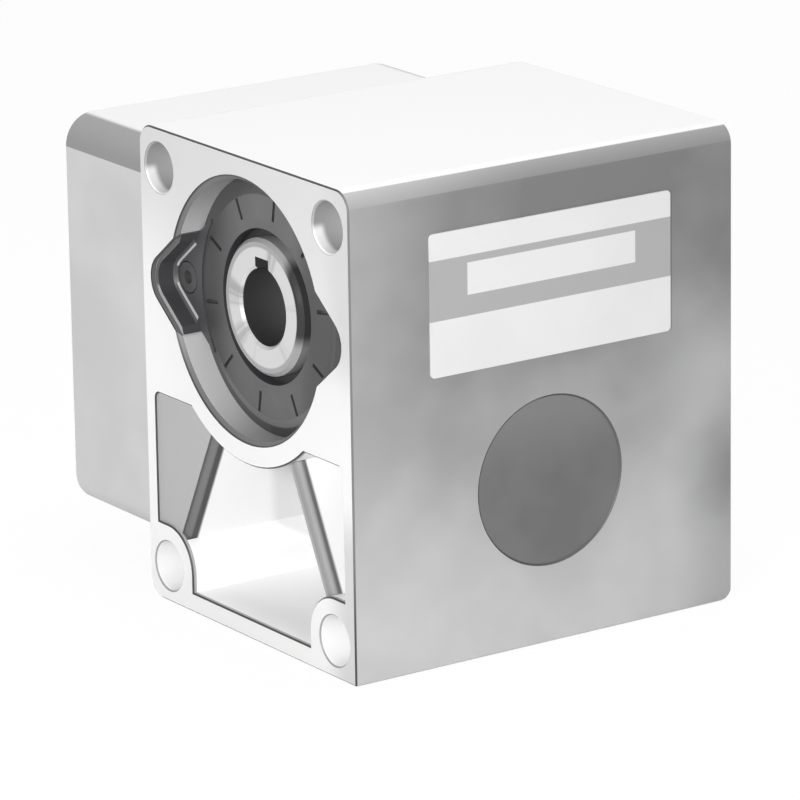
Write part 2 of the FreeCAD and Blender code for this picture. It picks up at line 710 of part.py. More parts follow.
# Hollow shaft: bearing seats at its ends, a journal and a collar for the wheel
def hollow_shaft():
    length = f"({SHAFT_END} - {SHAFT_START})"
    journal_start = f"({FRONT_RACE} + output_race_width - {SHAFT_START})"
    journal_end = f"({REAR_RACE} - {SHAFT_START})"
    wheel_start = f"(-wheel_width / 2 - {SHAFT_START})"
    wheel_end = f"(wheel_width / 2 - {SHAFT_START})"
    groove_start = f"({wheel_start} - clip_width - 2 * fit)"
    section = (
        ("shaft_bore", "shaft_chamfer"),
        ("shaft_bore + shaft_chamfer", "0"),
        ("shaft_radius - shaft_edge", "0"),
        ("shaft_radius", "shaft_edge"),
        ("shaft_radius", journal_start),
        ("journal_radius", journal_start),
        ("journal_radius", groove_start),
        ("journal_radius - clip_grip", groove_start),
        ("journal_radius - clip_grip", wheel_start),
        ("journal_radius", wheel_start),
        ("journal_radius", wheel_end),
        ("collar_radius", wheel_end),
        ("collar_radius", f"{wheel_end} + collar_width"),
        ("journal_radius", f"{wheel_end} + collar_width"),
        ("journal_radius", journal_end),
        ("shaft_radius", journal_end),
        ("shaft_radius", f"{length} - shaft_edge"),
        ("shaft_radius - shaft_edge", length),
        ("shaft_bore + shaft_chamfer", length),
        ("shaft_bore", f"{length} - shaft_chamfer"),
    )
    core = turned("shaft_core", "Y", ("0", SHAFT_START, "0"), section)
    keyway = block(
        "bore_keyway",
        ("-bore_key_width / 2", SHAFT_START, "0"),
        ("bore_key_width", length, "shaft_bore + bore_key_depth"),
    )
    key_seat = block(
        "wheel_key_seat",
        ("-wheel_key_width / 2 - fit", "-wheel_key_length / 2 - fit", "-journal_radius - clip_height"),
        ("wheel_key_width + 2 * fit", "wheel_key_length + 2 * fit", "wheel_key_sink + clip_height + fit"),
    )
    return cut("hollow_shaft", core, keyway, key_seat)


def wheel_key():
    low = "-journal_radius + wheel_key_sink - wheel_key_width"
    return block(
        "wheel_key",
        ("-wheel_key_width / 2", "-wheel_key_length / 2", low),
        ("wheel_key_width", "wheel_key_length", "wheel_key_width"),
    )


# Worm wheel: teeth follow the worm's lead, so each section turns with its place along Y
def worm_wheel():
    teeth = int(sheet.wheel_teeth)
    half_width = sheet.wheel_width / 2
    turn_per_mm = number(f"{LEAD} / (pi * worm_pitch_circle)") / number(WHEEL_PITCH_RADIUS)
    wires = []
    for y in (-half_width, 0, half_width):
        outline = tooth_outline(teeth, sheet.gear_module, -y * turn_per_mm, -math.pi / 2, 0)
        corners = [Vector(r * math.cos(angle), y, r * math.sin(angle)) for r, angle in outline]
        wires.append(Part.makePolygon(corners + corners[:1]))
    blank = doc.addObject("Part::Feature", "wheel_teeth_blank")
    blank.Shape = Part.makeLoft(wires, True, True)
    bore = rod("wheel_bore", "Y", "journal_radius + fit", ("0", "-wheel_width", "0"), "2 * wheel_width")
    key_low = "-journal_radius + wheel_key_sink - wheel_key_width - key_play"
    keyway = block(
        "wheel_keyway",
        ("-wheel_key_width / 2 - fit", "-wheel_width", key_low),
        ("wheel_key_width + 2 * fit", "2 * wheel_width", "wheel_key_width"),
    )
    return cut("worm_wheel", blank, bore, keyway)


def clip(name, axis, at, inner, outer, mouth_low, mouth_size):
    """A retaining ring with a gap between its ends."""
    whole = ring(name + "_ring", axis, at, inner, outer, "clip_width")
    return cut(name, whole, block(name + "_mouth", mouth_low, mouth_size))


def wheel_circlip():
    inner = "journal_radius - clip_grip + fit"
    start = "-wheel_width / 2 - clip_width - fit"
    at = ("0", start, "0")
    mouth = ("-clip_mouth / 2", start, "0")
    mouth_size = ("clip_mouth", "clip_width", "2 * journal_radius")
    return clip("wheel_circlip", "Y", at, inner, f"{inner} + clip_height", mouth, mouth_size)


# Worm shaft: turned from bar, thread cut in two starts
def worm_shaft():
    left = f"({GEAR_SIDE} + clip_width + 2 * fit + shaft_tail)"
    body = doc.addObject("PartDesign::Body", "worm_blank")
    groove_start = "shaft_tail"
    groove_end = "(shaft_tail + clip_width + 2 * fit)"
    section = section_sketch(body, "worm_section", (
        ("0", "0"),
        ("worm_radius", "0"),
        ("worm_radius", groove_start),
        ("worm_radius - clip_grip", groove_start),
        ("worm_radius - clip_grip", groove_end),
        ("worm_radius", groove_end),
        ("worm_radius", f"{left} - {INPUT_RACE} + input_race_width"),
        (WORM_ROOT, f"{left} - {INPUT_RACE} + input_race_width"),
        (WORM_ROOT, f"{left} + end_race_start"),
        ("worm_radius", f"{left} + end_race_start"),
        ("worm_radius", f"{left} + {END_CLIP}"),
        ("0", f"{left} + {END_CLIP}"),
    ))
    turn = body.newObject("PartDesign::Revolution", "worm_turn")
    turn.Profile = section
    turn.ReferenceAxis = (section, ["V_Axis"])
    turn.Angle = 360

    # The thread's section stands on the core, half its length before the middle
    sunk = f"({WORM_ROOT} - thread_sink)"
    middle = f"({left} - worm_steps / 2 * {PITCH})"
    half_pitch = f"({PITCH} / 2 - backlash) / 2"
    half_root = f"({half_pitch} + (worm_pitch_circle / 2 - {sunk}) * tan(pressure_angle))"
    half_tip = f"({half_pitch} - gear_module * tan(pressure_angle))"
    thread = section_sketch(body, "thread_section", (
        (sunk, f"{middle} - {half_root}"),
        (WORM_TIP, f"{middle} - {half_tip}"),
        (WORM_TIP, f"{middle} + {half_tip}"),
        (sunk, f"{middle} + {half_root}"),
    ))
    doc.recompute()
    helix = body.newObject("PartDesign::AdditiveHelix", "thread")
    helix.Profile = thread
    helix.ReferenceAxis = (thread, ["V_Axis"])
    helix.Mode = "pitch-height-angle"
    bind(helix, Pitch=LEAD, Height=f"worm_steps * {PITCH}")
    helix.LeftHanded = False
    helix.Reversed = False
    doc.recompute()
    starts = body.newObject("PartDesign::PolarPattern", "thread_starts")
    starts.Originals = [helix]
    starts.Axis = (thread, ["V_Axis"])
    starts.Angle = 360
    bind(starts, Occurrences="worm_starts")
    body.Tip = starts
    place(body, (f"-{left}", "0", WORM_Z), "X")
    key_seat = block(
        "gear_key_seat",
        (f"-{GEAR_SIDE} + gear_width / 2 - gear_key_length / 2 - fit", "-gear_key_width / 2 - fit",
         f"{WORM_Z} + worm_radius - gear_key_sink - fit"),
        ("gear_key_length + 2 * fit", "gear_key_width + 2 * fit", "2 * gear_key_sink"),
    )
    return cut("worm_shaft", body, key_seat)


def gear_key():
    start = f"-{GEAR_SIDE} + gear_width / 2 - gear_key_length / 2"
    return block(
        "gear_key",
        (start, "-gear_key_width / 2", f"{WORM_Z} + worm_radius - gear_key_sink"),
        ("gear_key_length", "gear_key_width", "gear_key_width"),
    )


# First gear: spur teeth on a hub that reaches back to the input bearing
def input_gear():
    outline = tooth_outline(int(sheet.gear_teeth), sheet.first_module, 0, math.pi / 2, 0)
    corners = [Vector(0, r * math.cos(angle), r * math.sin(angle)) for r, angle in outline]
    rim = doc.addObject("Part::Feature", "gear_rim")
    outline_face = Part.Face(Part.makePolygon(corners + corners[:1]))
    rim.Shape = outline_face.extrude(Vector(sheet.gear_width, 0, 0))
    rim.Placement = FreeCAD.Placement(Vector(-number(GEAR_SIDE), 0, number(WORM_Z)), Rotation())
    at = (f"-{GEAR_SIDE}", "0", WORM_Z)
    hub = rod("gear_hub", "X", "hub_radius", at, f"{GEAR_SIDE} - {INPUT_RACE}")
    bore = rod("gear_bore", "X", "worm_radius + fit", at, GEAR_SIDE)
    key_top = "worm_radius - gear_key_sink + gear_key_width + key_play"
    keyway = block(
        "gear_keyway",
        (f"-{GEAR_SIDE}", "-gear_key_width / 2 - fit", WORM_Z),
        (GEAR_SIDE, "gear_key_width + 2 * fit", key_top),
    )
    return cut("input_gear", fuse("gear_blank", rim, hub), bore, keyway)


def gear_circlip():
    inner = "worm_radius - clip_grip + fit"
    start = f"-{GEAR_SIDE} - clip_width - fit"
    at = (start, "0", WORM_Z)
    mouth = (start, "-small_clip_mouth / 2", WORM_Z)
    mouth_size = ("clip_width", "small_clip_mouth", "2 * worm_radius")
    return clip("gear_circlip", "X", at, inner, f"{inner} + clip_height", mouth, mouth_size)


# Worm bearings, their retaining ring and the rubber cap over the end bore
def worm_supports():
    shield = "worm_race_gap + race_gap"
    pieces = []
    for end, start in (("end", "end_race_start"), ("input", f"-{INPUT_RACE}")):
        at = (start, "0", WORM_Z)
        width = f"{end}_race_width"
        pieces.append(ring(f"{end}_bearing_outer", "X", at, shield, f"{end}_race_outer", width))
        pieces.append(ring(f"{end}_bearing_inner", "X", at, "worm_radius + fit", "worm_race_gap", width))
    groove = "end_race_outer + clip_grip"
    start = f"{END_CLIP} + fit"
    at = (start, "0", WORM_Z)
    mouth = (start, "-clip_mouth / 2", WORM_Z)
    mouth_size = ("clip_width", "clip_mouth", "2 * end_race_outer")
    inner = f"{groove} - clip_height"
    pieces.append(clip("end_bearing_circlip", "X", at, inner, groove, mouth, mouth_size))
    skirt_start = f"({END_CLIP} + clip_width + 2 * fit)"
    pieces.append(turned("end_cap", "X", (skirt_start, "0", WORM_Z), (
        ("0", f"{CAP_FACE} - cap_thickness - {skirt_start}"),
        ("end_race_outer - cap_skirt", f"{CAP_FACE} - cap_thickness - {skirt_start}"),
        ("end_race_outer - cap_skirt", "0"),
        ("end_race_outer", "0"),
        ("end_race_outer", f"{CAP_FACE} - {skirt_start}"),
        ("0", f"{CAP_FACE} - {skirt_start}"),
    )))
    return pieces


def rating_plate():
    sheet_metal = block(
        "plate_blank",
        (SIDE, f"{FRONT} + plate_front", f"{TOP} - plate_drop - plate_height"),
        ("plate_thickness", "plate_length", "plate_height"),
    )
    return eased("Fillet", "rating_plate", sheet_metal, "plate_corner", runs_along(Vector(1, 0, 0)))


pieces = [
    gear_case(),
    front_bearing_cover(),
    front_cover_screws(),
    *output_supports(),
    hollow_shaft(),
    worm_wheel(),
    wheel_key(),
    wheel_circlip(),
    worm_shaft(),
    gear_key(),
    input_gear(),
    gear_circlip(),
    *worm_supports(),
    rating_plate(),
]
sheet.clear("D1")
doc.recompute()

for obj in doc.Objects:
    if "Invalid" in obj.State or "Error" in obj.State:
        raise RuntimeError(f"{obj.Label} failed: {obj.State}")
for obj in pieces:
    if obj.Shape.isNull() or not obj.Shape.isValid() or not obj.Shape.Solids:
        raise RuntimeError(f"{obj.Label} has no valid solid")

os.makedirs("parts", exist_ok=True)
for obj in pieces:
    obj.Shape.exportStep(f"parts/{obj.Label}.step")
    print(f"{obj.Label}: {len(obj.Shape.Solids)} solid, {obj.Shape.Volume:.1f} mm3")
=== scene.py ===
import json
import math

import bpy
from mathutils import Matrix, Vector


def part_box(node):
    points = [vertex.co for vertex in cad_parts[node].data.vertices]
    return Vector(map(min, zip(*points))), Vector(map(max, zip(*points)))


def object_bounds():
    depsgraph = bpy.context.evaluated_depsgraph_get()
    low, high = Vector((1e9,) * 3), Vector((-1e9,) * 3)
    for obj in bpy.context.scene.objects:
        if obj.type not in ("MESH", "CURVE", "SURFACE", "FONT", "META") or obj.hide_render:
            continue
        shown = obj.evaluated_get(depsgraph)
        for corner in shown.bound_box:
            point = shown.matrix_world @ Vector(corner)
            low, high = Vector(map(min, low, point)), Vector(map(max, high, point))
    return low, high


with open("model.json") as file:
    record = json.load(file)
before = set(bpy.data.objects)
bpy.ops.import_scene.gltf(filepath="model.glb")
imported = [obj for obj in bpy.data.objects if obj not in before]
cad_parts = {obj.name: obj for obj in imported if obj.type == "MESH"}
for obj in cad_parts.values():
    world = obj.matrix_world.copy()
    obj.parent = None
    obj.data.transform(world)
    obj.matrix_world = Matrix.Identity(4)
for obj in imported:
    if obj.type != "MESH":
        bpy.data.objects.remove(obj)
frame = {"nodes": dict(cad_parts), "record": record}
cad_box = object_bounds()
node = frame["nodes"]
mounts = {mount["name"]: mount for mount in frame["record"]["mounts"]}
MM = 0.001


# Gear case: a die casting in aluminium, blasted to a satin skin. The mounting face, the bores, the motor
# face and the screw holes are machined after casting, so they are brighter. The dark broken edges round
# the mounting face are painted shade, and so are many other tones of the case, with painted light on its
# top and in its pockets.
CAST_DARK = (0.505, 0.505, 0.51, 1)
CAST_LIGHT = (0.585, 0.585, 0.59, 1)
# Painted light: the top faces are paler than the rest of the casting.
TOP_PAINTED_LIGHT = (0.75, 0.75, 0.752, 1)
# Painted shade and painted light: the right side runs from dark at its top to pale at its foot.
SIDE_PAINTED_SHADE = (0.176, 0.176, 0.179, 1)
SIDE_PAINTED_LIGHT = (0.538, 0.538, 0.541, 1)
# Painted shade on the upper roundings, less of it near the front.
ROUNDING_PAINTED_SHADE = (0.245, 0.245, 0.247, 1)
ROUNDING_FRONT_PAINTED_SHADE = (0.365, 0.365, 0.368, 1)
# Painted light in the pockets and in the lower holes, with painted shade on the pockets' deep walls.
POCKET_PAINTED_LIGHT = (0.955, 0.955, 0.953, 1)
POCKET_DEEP_SHADE = (0.905, 0.905, 0.905, 1)
# Painted shadow of the right rib in the middle pocket.
POCKET_PAINTED_SHADOW = (0.78, 0.78, 0.78, 1)
RELIEF_GREY = (0.4, 0.4, 0.403, 1)
# Painted shade on the upper half and a right strip of the machined faces, painted light low down and at
# the left.
FACE_UPPER = (0.595, 0.595, 0.593, 1)
FACE_LOWER = (0.765, 0.765, 0.762, 1)
FACE_LEFT = (0.815, 0.815, 0.812, 1)
FACE_RIGHT = (0.55, 0.55, 0.548, 1)
RECESS_SHADE = (0.34, 0.34, 0.345, 1)
RECESS_LIGHT = (0.535, 0.535, 0.535, 1)
# Painted shade on the broken edges, darkest in a thin outer line that is less dark at the lower right.
BROKEN_EDGE = (0.13, 0.13, 0.132, 1)
EDGE_LINE = (0.025, 0.025, 0.026, 1)
EDGE_LINE_PALER = (0.14, 0.14, 0.141, 1)
# Painted shade on the wall of the end cap's bore.
CAP_BORE_SHADE = (0.085, 0.085, 0.087, 1)
# Painted shade inside the upper mounting holes, paler deeper in, and a grey rim round each hole.
HOLE_GREY = (0.325, 0.325, 0.327, 1)
HOLE_DEEP = (0.52, 0.52, 0.52, 1)
HOLE_RIM = (0.30, 0.30, 0.303, 1)
# Painted shade on the ribs' rounded fronts, in two tones each, with dark outlines.
RIB_OUTLINE = (0.058, 0.058, 0.06, 1)
LEFT_RIB_DARK = (0.112, 0.112, 0.114, 1)
LEFT_RIB_GREY = (0.138, 0.138, 0.139, 1)
RIGHT_RIB_PALE = (0.36, 0.36, 0.362, 1)
RIGHT_RIB_GREY = (0.25, 0.25, 0.252, 1)


def new_finish(name, roughness, metallic):
    """A material, its node tree and its shader."""
    material = bpy.data.materials.new(name)
    material.use_nodes = True
    shader = material.node_tree.nodes["Principled BSDF"]
    shader.inputs["Roughness"].default_value = roughness
    shader.inputs["Metallic"].default_value = metallic
    return material, material.node_tree, shader


def plug(tree, made, inputs):
    """Link each input to a socket, or set it to a value."""
    for key, value in inputs.items():
        if isinstance(value, bpy.types.NodeSocket):
            tree.links.new(value, made.inputs[key])
        else:
            made.inputs[key].default_value = value


def add(tree, kind, inputs=None, **settings):
    """A shader node with its settings and inputs."""
    made = tree.nodes.new("ShaderNode" + kind)
    for key, value in settings.items():
        setattr(made, key, value)
    plug(tree, made, inputs or {})
    return made


def compute(tree, operation, *values):
    """The result of one Math node."""
    made = add(tree, "Math", dict(enumerate(values)), operation=operation)
    return made.outputs[0]


def all_of(tree, *masks):
    """1 only where every mask is 1: their product."""
    result = masks[0]
    for mask in masks[1:]:
        result = compute(tree, "MULTIPLY", result, mask)
    return result


def opposite(tree, mask):
    """1 where the mask is 0."""
    return compute(tree, "SUBTRACT", 1.0, mask)


def mix_colour(tree, factor, first, second):
    """First where the factor is 0, second where it is 1."""
    made = add(tree, "Mix", data_type="RGBA")
    plug(tree, made, {0: factor, 6: first, 7: second})
    return made.outputs[2]


def soft_step(tree, value, low, high):
    """0 at low, 1 at high, smooth between them, where low may also be the larger."""
    made = add(tree, "MapRange", {0: value, 1: low, 2: high}, interpolation_type="SMOOTHSTEP")
    return made.outputs[0]


def place_and_facing(tree):
    """The point and the normal, both in the object's own frame, split into x, y and z."""
    coordinates = add(tree, "TexCoord")
    point = add(tree, "SeparateXYZ", {0: coordinates.outputs["Object"]})
    facing = add(tree, "SeparateXYZ", {0: coordinates.outputs["Normal"]})
    return coordinates.outputs["Object"], point.outputs, facing.outputs


def radius_about(tree, point, across, up, centre):
    """Distance of the point from an axis, in the plane of two of its coordinates."""
    first = compute(tree, "SUBTRACT", point[across], centre[0])
    second = compute(tree, "SUBTRACT", point[up], centre[1])
    square = compute(tree, "MULTIPLY_ADD", first, first, compute(tree, "MULTIPLY", second, second))
    return compute(tree, "SQRT", square)


def new_group(name, takes, gives):
    """An empty shader node group with its named inputs and outputs."""
    group = bpy.data.node_groups.new(name, "ShaderNodeTree")
    for socket, kind, value in takes:
        made = group.interface.new_socket(socket, in_out="INPUT", socket_type=kind)
        if value is not None:
            made.default_value = value
    for socket, kind in gives:
        group.interface.new_socket(socket, in_out="OUTPUT", socket_type=kind)
    start = group.nodes.new("NodeGroupInput")
    end = group.nodes.new("NodeGroupOutput")
    return group, start.outputs, end.inputs


SKIN_BLOTCHES = 24.0
BLOTCH_DETAIL = 3.0
BLOTCH_BREAKUP = 0.55
BLOTCH_EDGES = (0.32, 0.68)
SKIN_GRAINS = 1900.0
GRAIN_DETAIL = 2.0
GRAIN_BREAKUP = 0.6


def make_cast_skin():
    """Blotches of a blasted casting, and its fine grain: two noises of very different scale."""
    group, takes, gives = new_group(
        "cast_skin",
        (("Point", "NodeSocketVector", None), ("Blotch Scale", "NodeSocketFloat", SKIN_BLOTCHES),
         ("Grain Scale", "NodeSocketFloat", SKIN_GRAINS)),
        (("Blotch", "NodeSocketFloat"), ("Grain", "NodeSocketFloat")),
    )
    blotch = add(group, "TexNoise", {"Vector": takes["Point"], "Scale": takes["Blotch Scale"],
                                     "Detail": BLOTCH_DETAIL, "Roughness": BLOTCH_BREAKUP})
    grain = add(group, "TexNoise", {"Vector": takes["Point"], "Scale": takes["Grain Scale"],
                                    "Detail": GRAIN_DETAIL, "Roughness": GRAIN_BREAKUP})
    group.links.new(soft_step(group, blotch.outputs["Fac"], *BLOTCH_EDGES), gives["Blotch"])
    group.links.new(grain.outputs["Fac"], gives["Grain"])
    return group


cast_skin = make_cast_skin()


def use_group(tree, group, inputs):
    """The outputs of a node group that is placed in a material."""
    made = add(tree, "Group", node_tree=group)
    plug(tree, made, inputs)
    return made.outputs


def bump(tree, shader, height, strength, depth):
    """Relief of the given depth in metres from a height map."""
    relief = add(tree, "Bump", {"Height": height, "Strength": strength, "Distance": depth})
    tree.links.new(relief.outputs[0], shader.inputs["Normal"])


case_low, case_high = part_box("gear_case")
front_y, rear_y = case_low.y, case_high.y
case_side = case_high.x

# How far round its edge the skin has turned, as the normal's upward part
TOP_TURN = (0.86, 0.91)
ROUNDING_TURN = (0.19, 0.24)
FLANGE_TOP_SHIFT = 0.09
FLANGE_SIDE_SHIFT = 0.17
RIGHT_TURN = (0.94, 0.97)
FLANGE_BLUR = 0.2 * MM
ROUNDING_PALE_REACH = 50.0 * MM


def cast_colour(tree, skin, point, facing):
    """The blasted skin: painted light on top, painted shade and light down the right side, and painted
    shade on the upper roundings.
    """
    colour = mix_colour(tree, skin["Blotch"], CAST_DARK, CAST_LIGHT)
    on_flange = soft_step(tree, point["X"], -case_side, -case_side - FLANGE_BLUR)
    top_turn = compute(tree, "MULTIPLY_ADD", on_flange, -FLANGE_TOP_SHIFT, facing["Z"])
    colour = mix_colour(tree, soft_step(tree, top_turn, *TOP_TURN), colour, TOP_PAINTED_LIGHT)
    on_right = soft_step(tree, facing["X"], *RIGHT_TURN)
    colour = mix_colour(tree, on_right, colour, right_side_colour(tree, skin, point))
    side_turn = compute(tree, "MULTIPLY_ADD", on_flange, FLANGE_SIDE_SHIFT, facing["Z"])
    rounding = all_of(tree, soft_step(tree, side_turn, *ROUNDING_TURN),
                      soft_step(tree, top_turn, *reversed(TOP_TURN)))
    near_front = all_of(tree, soft_step(tree, point["Y"], front_y + ROUNDING_PALE_REACH, front_y),
                        opposite(tree, on_flange))
    painted_shade = mix_colour(tree, near_front, ROUNDING_PAINTED_SHADE, ROUNDING_FRONT_PAINTED_SHADE)
    return mix_colour(tree, rounding, colour, painted_shade)


# The right side's tone is painted shade at its top and painted light at its foot, with one painted
# highlight
SIDE_DROP = 10.7 * MM
BLOTCH_MIDDLE = 0.5
BLOTCH_SHARE = 0.26
FRONT_REACH = 30.0 * MM
FRONT_SHARE = 0.36
REAR_REACH = 18.0 * MM
REAR_SHARE = -0.5
REAR_FROM_HEIGHT = -15.0 * MM
REAR_FULL_HEIGHT = -48.0 * MM
HIGHLIGHT_AT = (42.0 * MM, -18.0 * MM)
HIGHLIGHT_RADIUS = 25.0 * MM
HIGHLIGHT_SHARE = 0.42


def right_side_colour(tree, skin, point):
    """A tone from 0, painted shade, to 1, painted light: height, blotches, the two end edges and one
    painted highlight.
    """
    height = soft_step(tree, point["Z"], case_high.z - SIDE_DROP, case_low.z - SIDE_DROP)
    blotch = compute(tree, "SUBTRACT", skin["Blotch"], BLOTCH_MIDDLE)
    painted_shading_and_blotches = compute(tree, "MULTIPLY_ADD", blotch, BLOTCH_SHARE, height)
    near_front = all_of(tree, soft_step(tree, point["Y"], front_y + FRONT_REACH, front_y),
                        opposite(tree, height))
    painted_shading_and_blotches = compute(tree, "MULTIPLY_ADD", near_front, FRONT_SHARE, painted_shading_and_blotches)
    near_rear = all_of(tree, soft_step(tree, point["Y"], rear_y - REAR_REACH, rear_y),
                       soft_step(tree, point["Z"], REAR_FROM_HEIGHT, REAR_FULL_HEIGHT))
    painted_shading_and_blotches = compute(tree, "MULTIPLY_ADD", near_rear, REAR_SHARE, painted_shading_and_blotches)
    painted_highlight = soft_step(tree, radius_about(tree, point, "Y", "Z", HIGHLIGHT_AT), HIGHLIGHT_RADIUS, 0.0)
    painted_shading_and_blotches = compute(tree, "MULTIPLY_ADD", painted_highlight, HIGHLIGHT_SHARE, painted_shading_and_blotches)
    return mix_colour(tree, painted_shading_and_blotches, SIDE_PAINTED_SHADE, SIDE_PAINTED_LIGHT)


# The window under the output ring: a shallow relief, and deep pockets between two ribs. In the middle
# pocket a painted shadow of the right rib starts at the rib and runs inwards on a slant, to the left.
WINDOW_SIDE_WALL = 3.0 * MM
WINDOW_TOP = -25.5 * MM
WINDOW_FOOT_WALL = 3.1 * MM
RELIEF_DEPTH = 0.95 * MM
POCKET_SHADE_FROM = 14.0 * MM
POCKET_SHADE_FULL = 34.0 * MM
LEVEL_TURN = (0.9, 0.7)
RIB_FRONT_DEPTH = 3.8 * MM
RIB_FRONT_BLUR = 0.4 * MM
RIB_TONE_BLUR = 0.3 * MM
RIB_HALF = 2.15 * MM
RIB_LINE = 1.75 * MM
RIGHT_RIB_LINE = 1.98 * MM
RIB_SHADOW_SLANT = (1.4645, 0.5136)
RIB_SHADOW_ACROSS = (6.0 * MM, 11.0 * MM)
RIB_SHADOW_SIDE = (0.4 * MM, -0.4 * MM)
RIB_SHADOW_FOOT = (-46.4 * MM, -45.0 * MM)
RIB_SHADOW_DEPTH = (4.0 * MM, 7.0 * MM)
BLUR = 0.1 * MM

pattern = mounts["mounting_holes"]
half_across = pattern["dims"]["spacing_x_mm"] / 2 * MM
half_up = pattern["dims"]["spacing_y_mm"] / 2 * MM
holes_middle = pattern["pos_m"][2]
rib_lean = math.atan2(half_across, half_up - holes_middle)


def window_colour(tree, cast, point, facing, behind_front):
    """Grey in the relief, and painted light in the pockets, with painted shade on their walls deep
    inside and a painted shadow beside the right rib.
    """
    off_middle = compute(tree, "ABSOLUTE", point["X"])
    half_window = case_side - WINDOW_SIDE_WALL
    foot = case_low.z + WINDOW_FOOT_WALL
    window = all_of(tree, soft_step(tree, off_middle, half_window + BLUR, half_window - BLUR),
                    soft_step(tree, point["Z"], WINDOW_TOP + BLUR, WINDOW_TOP - BLUR),
                    soft_step(tree, point["Z"], foot - BLUR, foot + BLUR))
    deep = soft_step(tree, behind_front, RELIEF_DEPTH - BLUR / 2, RELIEF_DEPTH + BLUR / 2)
    pocket = all_of(tree, window, deep)
    shaded = all_of(tree, soft_step(tree, behind_front, POCKET_SHADE_FROM, POCKET_SHADE_FULL),
                    soft_step(tree, facing["Z"], *LEVEL_TURN))
    colour = mix_colour(tree, window, cast, RELIEF_GREY)
    colour = mix_colour(tree, pocket, colour, mix_colour(tree, shaded, POCKET_PAINTED_LIGHT, POCKET_DEEP_SHADE))
    painted_shade = all_of(tree, pocket, beside_right_rib(tree, point, behind_front))
    colour = mix_colour(tree, painted_shade, colour, POCKET_PAINTED_SHADOW)
    rib_front = soft_step(tree, behind_front, RIB_FRONT_DEPTH + RIB_FRONT_BLUR,
                          RIB_FRONT_DEPTH - RIB_FRONT_BLUR)
    return ribs_colour(tree, colour, point, all_of(tree, pocket, rib_front))


def off_rib_line(tree, across, up, side):
    """How far to the right of a rib's middle line a point lies."""
    along_x = compute(tree, "MULTIPLY", across, math.cos(rib_lean))
    return compute(tree, "MULTIPLY_ADD", up, side * math.sin(rib_lean), along_x)


def beside_right_rib(tree, point, behind_front):
    """The painted shadow of the right rib: left of the rib, by the point where a slant line meets the
    front.
    """
    across = compute(tree, "MULTIPLY_ADD", behind_front, RIB_SHADOW_SLANT[0], point["X"])
    up = compute(tree, "MULTIPLY_ADD", behind_front, RIB_SHADOW_SLANT[1], point["Z"])
    off_rib = off_rib_line(tree, across, up, 1)
    return all_of(tree, soft_step(tree, across, *RIB_SHADOW_ACROSS),
                  soft_step(tree, off_rib, *RIB_SHADOW_SIDE),
                  soft_step(tree, up, *RIB_SHADOW_FOOT), soft_step(tree, behind_front, *RIB_SHADOW_DEPTH))


def ribs_colour(tree, colour, point, where):
    """The ribs' rounded fronts carry painted shade in two tones each, with a dark line at both sides of
    the left one and at the right of the other."""
    for side, first, second, line in ((-1, LEFT_RIB_DARK, LEFT_RIB_GREY, RIB_LINE),
                                      (1, RIGHT_RIB_PALE, RIGHT_RIB_GREY, RIGHT_RIB_LINE)):
        off_rib = off_rib_line(tree, point["X"], point["Z"], side)
        distance = compute(tree, "ABSOLUTE", off_rib)
        right_half = soft_step(tree, off_rib, -RIB_TONE_BLUR, RIB_TONE_BLUR)
        tone = mix_colour(tree, right_half, first, second)
        outer = distance if side < 0 else off_rib
        tone = mix_colour(tree, soft_step(tree, outer, line - BLUR, line + BLUR), tone, RIB_OUTLINE)
        on_rib = soft_step(tree, distance, RIB_HALF + BLUR / 2, RIB_HALF - BLUR / 2)
        colour = mix_colour(tree, all_of(tree, on_rib, where), colour, tone)
    return colour


# Machined surfaces: the three faces, the recess for the cover and the mounting holes. Their tones are
# partly painted light and shade.
FACE_DEPTH = 0.04 * MM
FACE_BLUR = 0.02 * MM
FACE_TONE_REACH = 30.0 * MM
FACE_LEFT_FROM = -14.0 * MM
FACE_RIGHT_ACROSS = (28.0 * MM, 38.0 * MM)
FACE_RIGHT_HIGH = (-12.0 * MM, 2.0 * MM)
FACE_RIGHT_LOW = (-32.0 * MM, -46.0 * MM)
RECESS_EDGE = 29.7 * MM
RECESS_BORE = 28.6 * MM
RECESS_UP_SHARE = 0.35
RECESS_TURN = (0.35, 0.95)
EAR_SEAT_REACH = 37.9 * MM
EAR_SEAT_HALF = 13.9 * MM
EDGE_AWAY_TURN = (0.97, 0.90)
EDGE_LEAN_TURN = (0.3, 0.5)
EDGE_DEPTH = 1.25 * MM
EDGE_LINE_DEPTH = 0.3 * MM
EDGE_PALER_ACROSS = (36.0 * MM, 38.5 * MM)
EDGE_PALER_UP = (-66.0 * MM, -40.0 * MM)
CAP_SEAT = 1.2 * MM
CAP_BORE_DEPTH = 4.0 * MM
HOLE_SHADE_DEPTH = 9.0 * MM
HOLE_LIT_DEPTH = (3.4 * MM, 1.8 * MM)
HOLE_LIT_TURN = (0.0, 0.35)
RIM_WIDTH = 0.6 * MM
BORE_BLUR = 0.06 * MM
cap_low, cap_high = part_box("end_cap")
cap_middle = ((cap_low.y + cap_high.y) / 2, (cap_low.z + cap_high.z) / 2)
cap_radius = (cap_high.y - cap_low.y) / 2


